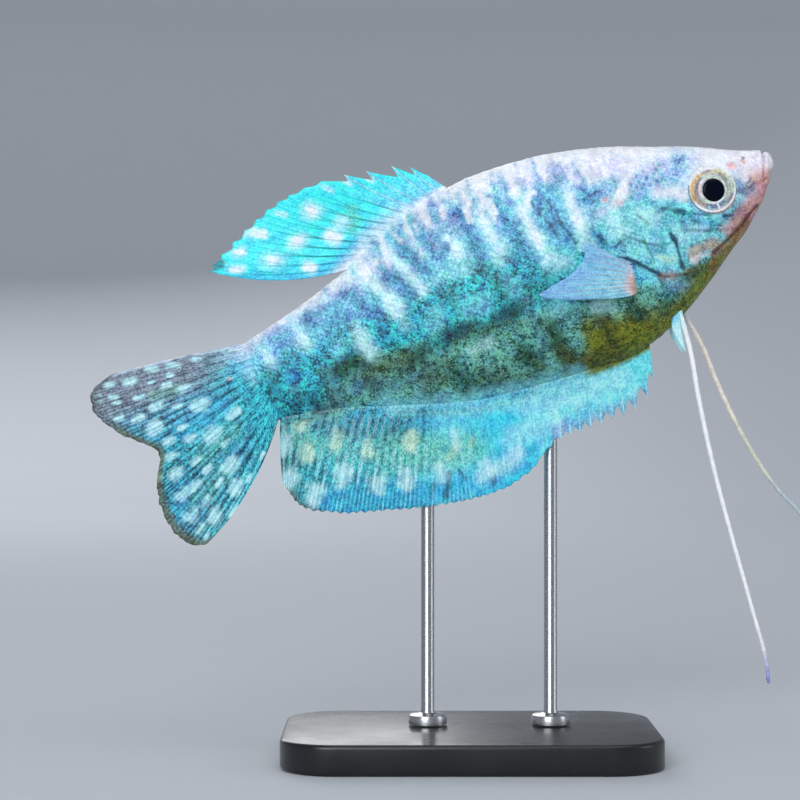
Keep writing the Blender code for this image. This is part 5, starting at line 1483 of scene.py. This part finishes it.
def build_eye(name, side, paints):
    """An eyeball with a domed lens in its pupil, a mottled iris and a raised rim."""
    deselect_all()
    bpy.ops.mesh.primitive_uv_sphere_add(segments=180, ring_count=100, radius=1)
    eye = added(name)
    unit = vertex_places(eye.data)
    share = np.arccos(np.clip(unit[:, 2], -1, 1)) / math.pi
    angle = np.arctan2(unit[:, 1], unit[:, 0])
    profile = np.array(EYE_PROFILE)
    way = np.concatenate([[0], np.cumsum(np.linalg.norm(np.diff(profile, axis=0), axis=1))])
    front = way[EYE_RIM]
    back = front + (share - EYE_FRONT_SHARE) / (1 - EYE_FRONT_SHARE) * (way[-1] - front)
    where = np.where(share < EYE_FRONT_SHARE, share / EYE_FRONT_SHARE * front, back)
    radius, height = curve_through(way, profile[:, 0], where), curve_through(way, profile[:, 1], where)
    radius = np.clip(radius, 0, None)
    inner = smooth_step(3.4, 1.6, radius)
    x = radius * np.cos(angle) + PUPIL_SHIFT[0] * inner
    z = radius * np.sin(angle) + PUPIL_SHIFT[1] * inner
    centre, axes = eye_frame(side)
    points = centre + np.stack([x, z, height], axis=1) @ axes
    move_vertices(eye.data, to_row(points))
    seen = seen_from_side(points)
    values = np.tile(paints["sea_shell"], (len(points), 1))
    values = add_marks(values, EYE_MARKS, *seen, paints)
    values[:, :6] *= (1 + 0.16 * patchy(*seen, 0.35, 71) + 0.1 * patchy(*seen, 0.18, 72))[:, None]
    values = mixed(values, paints["black"], smooth_step(1.95, 1.86, radius) * (height > 0))
    store_paint(eye.data, values)
    face_outwards(eye)
    return eye


def eye_material():
    """The eye under its clear wet cornea: mottled metallic iris, and a pupil that is nearly black."""
    material = new_material("wet_eye")
    where = add_node(material, "TexCoord", output="Object")
    light = add_node(material, "Attribute", attribute_name="Light")
    dark = add_node(material, "Attribute", attribute_name="Dark")
    fine = add_node(material, "TexNoise", {"Vector": where, "Scale": 5200.0, "Detail": 3.0, "Roughness": 0.6})
    grain = add_node(
        material, "MapRange", {"Value": fine, "From Min": 0.42, "From Max": 0.66},
        interpolation_type="SMOOTHSTEP",
    )
    colour = add_node(material, "Mix", {0: grain, 6: light, 7: dark}, 2, data_type="RGBA")
    raised = add_node(material, "Bump", {"Height": fine, "Strength": 0.2, "Distance": 0.02 * MM})
    shade(material, {
        "Base Color": colour, "Normal": raised, "Roughness": 0.4, "IOR": 1.1, "Coat Weight": 0.25,
        "Coat IOR": 1.34, "Coat Roughness": 0.03,
    })
    return material


def acrylic_material():
    """Cast black acrylic, cut and flame-polished: a deep satin black with soft, slightly uneven gloss."""
    material = new_material("black_acrylic")
    where = add_node(material, "TexCoord", output="Object")
    smears = add_node(material, "TexNoise", {"Vector": where, "Scale": 90.0, "Detail": 4.0})
    rough = add_node(
        material, "MapRange",
        {"Value": smears, "From Min": 0.3, "From Max": 0.7, "To Min": 0.2, "To Max": 0.36},
    )
    shade(material, {"Base Color": (*linear("#131418"), 1.0), "Roughness": rough, "IOR": 1.49})
    return material


def steel_material():
    """Drawn and polished stainless steel rod: fine rings from turning, half a millimetre apart to show."""
    material = new_material("stainless_steel")
    where = add_node(material, "TexCoord", output="Object")
    rings = add_node(material, "Mapping", {"Vector": where, "Scale": (90.0, 90.0, 2400.0)})
    turned = add_node(material, "TexNoise", {"Vector": rings, "Scale": 1.0, "Detail": 3.0})
    rough = add_node(
        material, "MapRange",
        {"Value": turned, "From Min": 0.3, "From Max": 0.7, "To Min": 0.2, "To Max": 0.32},
    )
    raised = add_node(material, "Bump", {"Height": turned, "Strength": 0.15, "Distance": 0.02 * MM})
    shade(material, {
        "Base Color": (*linear("#B4B6B8"), 1.0), "Metallic": 1.0, "Roughness": rough, "Normal": raised,
    })
    return material


def build_base():
    """A flat slab with rounded corners and softened rims."""
    deselect_all()
    length, width, thick = (value * MM for value in BASE_SIZE)
    bpy.ops.mesh.primitive_cube_add(size=1, location=(0, 0, thick / 2), scale=(length, width, thick))
    base = bpy.context.active_object
    base.name = base.data.name = "stand_base_slab"
    bpy.ops.object.transform_apply(location=True, rotation=True, scale=True)
    for wanted, radius, steps in ((True, BASE_CORNER, 20), (False, BASE_ROUNDING, 5)):
        bpy.ops.object.mode_set(mode="EDIT")
        bpy.ops.mesh.select_mode(type="EDGE")
        bpy.ops.mesh.select_all(action="DESELECT")
        bpy.ops.object.mode_set(mode="OBJECT")
        for edge in base.data.edges:
            low, high = (base.data.vertices[i].co.z for i in edge.vertices)
            edge.select = (abs(high - low) > thick / 2) == wanted
        bpy.ops.object.mode_set(mode="EDIT")
        bpy.ops.mesh.bevel(offset=radius * MM, segments=steps, profile=0.5, affect="EDGES")
        bpy.ops.object.mode_set(mode="OBJECT")
    bpy.ops.object.shade_smooth_by_angle(angle=math.radians(35))
    return base


def build_rod(name, x, y, top):
    """A straight rod with a turned foot that stands on the base."""
    deselect_all()
    profile = [*ROD_FOOT, (ROD_RADIUS, ROD_START), (ROD_RADIUS, top), (ROD_RADIUS * 0.2, top + 0.6)]
    foot_radius, foot_height = profile[0]
    bpy.ops.mesh.primitive_circle_add(
        vertices=48, radius=foot_radius * MM, location=(x * MM, y * MM, foot_height * MM), fill_type="NGON"
    )
    rod = bpy.context.active_object
    rod.name = rod.data.name = name
    bpy.ops.object.transform_apply(location=True, rotation=True, scale=True)
    bpy.ops.object.mode_set(mode="EDIT")
    bpy.ops.mesh.select_all(action="SELECT")
    for (radius, height), (next_radius, next_height) in zip(profile, profile[1:]):
        rise = (0, 0, (next_height - height) * MM)
        bpy.ops.mesh.extrude_region_move(TRANSFORM_OT_translate={"value": rise})
        change = next_radius / radius
        centre = (x * MM, y * MM, next_height * MM)
        bpy.ops.transform.resize(value=(change, change, 1), center_override=centre)
    bpy.ops.object.mode_set(mode="OBJECT")
    face_outwards(rod)
    bpy.ops.object.shade_smooth_by_angle(angle=math.radians(35))
    return rod


SETTINGS_SIZES = {
    "ray_height": ("Ray height", "How far a fin's rays stand out of its web", 0.09),
    "web_edge": ("Web edge", "Half thickness of a fin's web at its edge", 0.13),
}


class GouramiSizes(bpy.types.PropertyGroup):
    """Sizes of the model that can be changed before it is built."""


GouramiSizes.__annotations__ = {
    key: FloatProperty(name=name, description=text, default=value * MM, unit="LENGTH", min=0.0, precision=5)
    for key, (name, text, value) in SETTINGS_SIZES.items()
}


class GouramiPaints(bpy.types.PropertyGroup):
    """Colours of the fish's markings."""


GouramiPaints.__annotations__ = {
    f"{name}_{tone}": FloatVectorProperty(
        name=f"{name.replace('_', ' ').capitalize()} {tone}",
        description=f"The {tone} colour of the paint called {name.replace('_', ' ')}",
        subtype="COLOR", size=3, min=0.0, max=1.0, default=linear(PAINTS[name][place]),
    )
    for name in PAINTS
    for place, tone in enumerate(("light", "dark"))
}


class GOURAMI_OT_skin(bpy.types.Operator):
    """Build the fish's skin"""

    bl_idname = "gourami.skin"
    bl_label = "Skin"

    def execute(self, context):
        put_material(build_skin(paint_values()), grain_material("wet_fish_skin", 0.34, 0.36, 0.15))
        return {"FINISHED"}


class GOURAMI_OT_scales(bpy.types.Operator):
    """Lay the scales over the skin"""

    bl_idname = "gourami.scales"
    bl_label = "Scales"

    def execute(self, context):
        paints, table = paint_values(), girth_table()
        material = bpy.data.materials["wet_fish_skin"]
        body = scale_roots(
            table, BODY_SCALE, 15.0, 92.5, on_body, lambda s: np.interp(s, (20, 45, 92), (0.9, 1.0, 0.72))
        )
        head = scale_roots(
            table, HEAD_SCALE, 12.0, 31.0, on_cheek, lambda s: np.interp(s, (13, 30), (0.8, 1.0))
        )
        front, middle, rear = np.array_split(body, 3)
        fields = (
            ("scales_cheeks", head, HEAD_SCALE), ("scales_front", front, BODY_SCALE),
            ("scales_middle", middle, BODY_SCALE), ("scales_rear", rear, BODY_SCALE),
        )
        for i, (name, roots, kind) in enumerate(fields):
            piece = build_scales(name, roots, kind, table, paints, 50 + i)
            put_material(piece, material)
        return {"FINISHED"}


class GOURAMI_OT_eyes(bpy.types.Operator):
    """Set the eyes into their sockets"""

    bl_idname = "gourami.eyes"
    bl_label = "Eyes"

    def execute(self, context):
        material = eye_material()
        for side_name, side in (("right", -1), ("left", 1)):
            eye = build_eye(f"eyeball_{side_name}", side, paint_values())
            put_material(eye, material)
            finish_piece(eye, (f"eye_{side_name}",))
        return {"FINISHED"}


class GOURAMI_OT_fins(bpy.types.Operator):
    """Build the fins with their rays"""

    bl_idname = "gourami.fins"
    bl_label = "Fins"

    def execute(self, context):
        paints, sizes = paint_values(), context.scene.gourami_sizes
        material = grain_material("rayed_fin_web", 0.32, 0.38, 0.12, stretched=True, drift=(0.48, 0.51))
        fins = (
            ("dorsal_fin", "dorsal_fin", on_middle_plane, paint_dorsal),
            ("anal_fin", "anal_fin", on_middle_plane, paint_anal),
            ("caudal_fin", "caudal_fin", on_middle_plane, paint_caudal),
            ("pectoral_fin", "pectoral_fin_right", swung_out(-1), paint_pectoral),
            ("pectoral_fin", "pectoral_fin_left", swung_out(1), paint_pectoral),
            ("pelvic_fin", "pelvic_fin_right", beside_middle(-1), paint_pelvic),
            ("pelvic_fin", "pelvic_fin_left", beside_middle(1), paint_pelvic),
        )
        for kind, node, out_at, paint_fin in fins:
            piece = build_fin(f"{node}_web", FINS[kind], out_at, paint_fin, paints, sizes)
            put_material(piece, material)
            finish_piece(piece, (node,))
        return {"FINISHED"}


class GOURAMI_OT_feelers(bpy.types.Operator):
    """Draw the two long pelvic feelers"""

    bl_idname = "gourami.feelers"
    bl_label = "Feelers"

    def execute(self, context):
        paints = paint_values()
        material = grain_material("feeler_skin", 0.4, 0.4, 0.15, bump=0.01, drift=(0.49, 0.51))
        near = ("pearl", *["white"] * 8, "shell", "violet")
        far = ("shell", *["warm_white"] * 3, *["dun"] * 2, *["haze"] * 4, "violet")
        feelers = (("right", -1, RIGHT_FEELER, near), ("left", 1, LEFT_FEELER, far))
        for side_name, side, points, tones in feelers:
            piece = build_feeler(f"feeler_{side_name}", points, side, tones, paints)
            put_material(piece, material)
            nodes = [f"pelvic_feeler_{side_name}_{part}" for part in ("root", "middle", "tip")]
            finish_piece(piece, nodes)
        return {"FINISHED"}


class GOURAMI_OT_stand(bpy.types.Operator):
    """Build the display stand"""

    bl_idname = "gourami.stand"
    bl_label = "Stand"

    def execute(self, context):
        base = build_base()
        put_material(base, acrylic_material())
        finish_piece(base, ("stand_base",), smooth=False)
        material = steel_material()
        for node, (x, y, top) in ROD_PLACES.items():
            rod = build_rod(f"{node}_turned", x, y, top)
            put_material(rod, material)
            finish_piece(rod, (node,), smooth=False)
        return {"FINISHED"}


class GOURAMI_OT_stage(bpy.types.Operator):
    """Set up the floor, the lights and the camera"""

    bl_idname = "gourami.stage"
    bl_label = "Stage"

    def execute(self, context):
        build_stage()
        return {"FINISHED"}


# The sweep's section and the lights, in metres and watts: name, place, size and power
SWEEP = (
    (0.0, 0.0), (0.66, 0.0), (0.82, 0.015), (0.96, 0.06), (1.08, 0.15), (1.16, 0.29), (1.21, 0.5),
    (1.24, 1.5),
)
LIGHTS = (
    ("light_top", (0.15, -0.35, 0.85), 0.7, 1.9),
    ("light_front", (-0.3, -0.9, 0.45), 0.6, 5.6),
    ("light_left", (-0.25, 0.85, 0.5), 0.6, 2.8),
    ("light_head", (0.9, -0.15, 0.3), 0.4, 1.0),
)
LIGHT_TARGET = (0.0, 0.0, 0.065)
ROOM_STRENGTH = 0.43


def paper_material():
    """Pale uncoated card: a dull, even surface with fibres that only just show."""
    material = new_material("pale_paper")
    where = add_node(material, "TexCoord", output="Object")
    fibres = add_node(material, "TexNoise", {"Vector": where, "Scale": 900.0, "Detail": 3.0})
    raised = add_node(material, "Bump", {"Height": fibres, "Strength": 0.05, "Distance": 0.0002})
    shade(material, {"Base Color": (*linear("#BEC3CA"), 1), "Roughness": 0.9, "Normal": raised})
    return material


def build_stage():
    """A round pale sweep, soft lights all round and the photo's view."""
    deselect_all()
    reach = max(radius for radius, _ in SWEEP)
    bpy.ops.mesh.primitive_grid_add(x_subdivisions=96, y_subdivisions=48, size=2)
    floor = added("floor")
    unit = vertex_places(floor.data)
    way = (unit[:, 1] + 1) / 2 * (len(SWEEP) - 1)
    steps = np.arange(len(SWEEP))
    radius, height = (curve_through(steps, column, way) for column in zip(*SWEEP))
    radius = np.clip(radius, 0, reach)
    turn = unit[:, 0] * math.pi
    places = np.stack([radius * np.cos(turn), radius * np.sin(turn), np.clip(height, 0, None)], axis=1)
    move_vertices(floor.data, places)
    bm = bmesh.new()
    bm.from_mesh(floor.data)
    bmesh.ops.remove_doubles(bm, verts=bm.verts, dist=1e-5)
    bm.to_mesh(floor.data)
    bm.free()
    floor.data.shade_smooth()
    put_material(floor, paper_material())
    world = bpy.data.worlds.new("pale_room")
    world.use_nodes = True
    room = world.node_tree.nodes["Background"]
    feed(world, room, {"Color": (*linear("#EEF1F5"), 1), "Strength": ROOM_STRENGTH})
    bpy.context.scene.world = world
    bpy.context.scene.view_settings.view_transform = "Standard"
    for name, place, size, power in LIGHTS:
        lamp = bpy.data.lights.new(name, "AREA")
        lamp.shape = "SQUARE"
        lamp.size = size
        lamp.energy = power
        holder = bpy.data.objects.new(name, lamp)
        bpy.context.scene.collection.objects.link(holder)
        holder.location = place
        holder.rotation_euler = (Vector(LIGHT_TARGET) - Vector(place)).to_track_quat("-Z", "Y").to_euler()
    camera = bpy.data.cameras.new("camera")
    camera.lens = CAMERA_LENS
    camera.sensor_width = SENSOR
    camera.sensor_fit = "HORIZONTAL"
    camera.clip_start = 0.01
    viewer = bpy.data.objects.new("camera", camera)
    bpy.context.scene.collection.objects.link(viewer)
    viewer.location = [value * MM for value in CAMERA_PLACE]
    viewer.rotation_euler = (math.pi / 2, 0, 0)
    bpy.context.scene.camera = viewer


class GOURAMI_PT_panel(bpy.types.Panel):
    """Lists the steps that build the model"""

    bl_label = "Opaline gourami"
    bl_idname = "GOURAMI_PT_panel"
    bl_space_type = "VIEW_3D"
    bl_region_type = "UI"
    bl_category = "Gourami"

    def draw(self, context):
        for step in STEPS:
            self.layout.operator(step.bl_idname)


STEPS = (
    GOURAMI_OT_skin, GOURAMI_OT_scales, GOURAMI_OT_eyes, GOURAMI_OT_fins, GOURAMI_OT_feelers,
    GOURAMI_OT_stand, GOURAMI_OT_stage,
)
CLASSES = (GouramiSizes, GouramiPaints, *STEPS, GOURAMI_PT_panel)


def register():
    for cls in CLASSES:
        bpy.utils.register_class(cls)
    bpy.types.Scene.gourami_sizes = bpy.props.PointerProperty(type=GouramiSizes)
    bpy.types.Scene.gourami_paints = bpy.props.PointerProperty(type=GouramiPaints)


def unregister():
    del bpy.types.Scene.gourami_paints
    del bpy.types.Scene.gourami_sizes
    for cls in reversed(CLASSES):
        bpy.utils.unregister_class(cls)


def main():
    register()
    bpy.ops.gourami.skin()
    bpy.ops.gourami.scales()
    bpy.ops.gourami.eyes()
    bpy.ops.gourami.fins()
    bpy.ops.gourami.feelers()
    bpy.ops.gourami.stand()
    bpy.ops.gourami.stage()


if __name__ == "__main__":
    main()
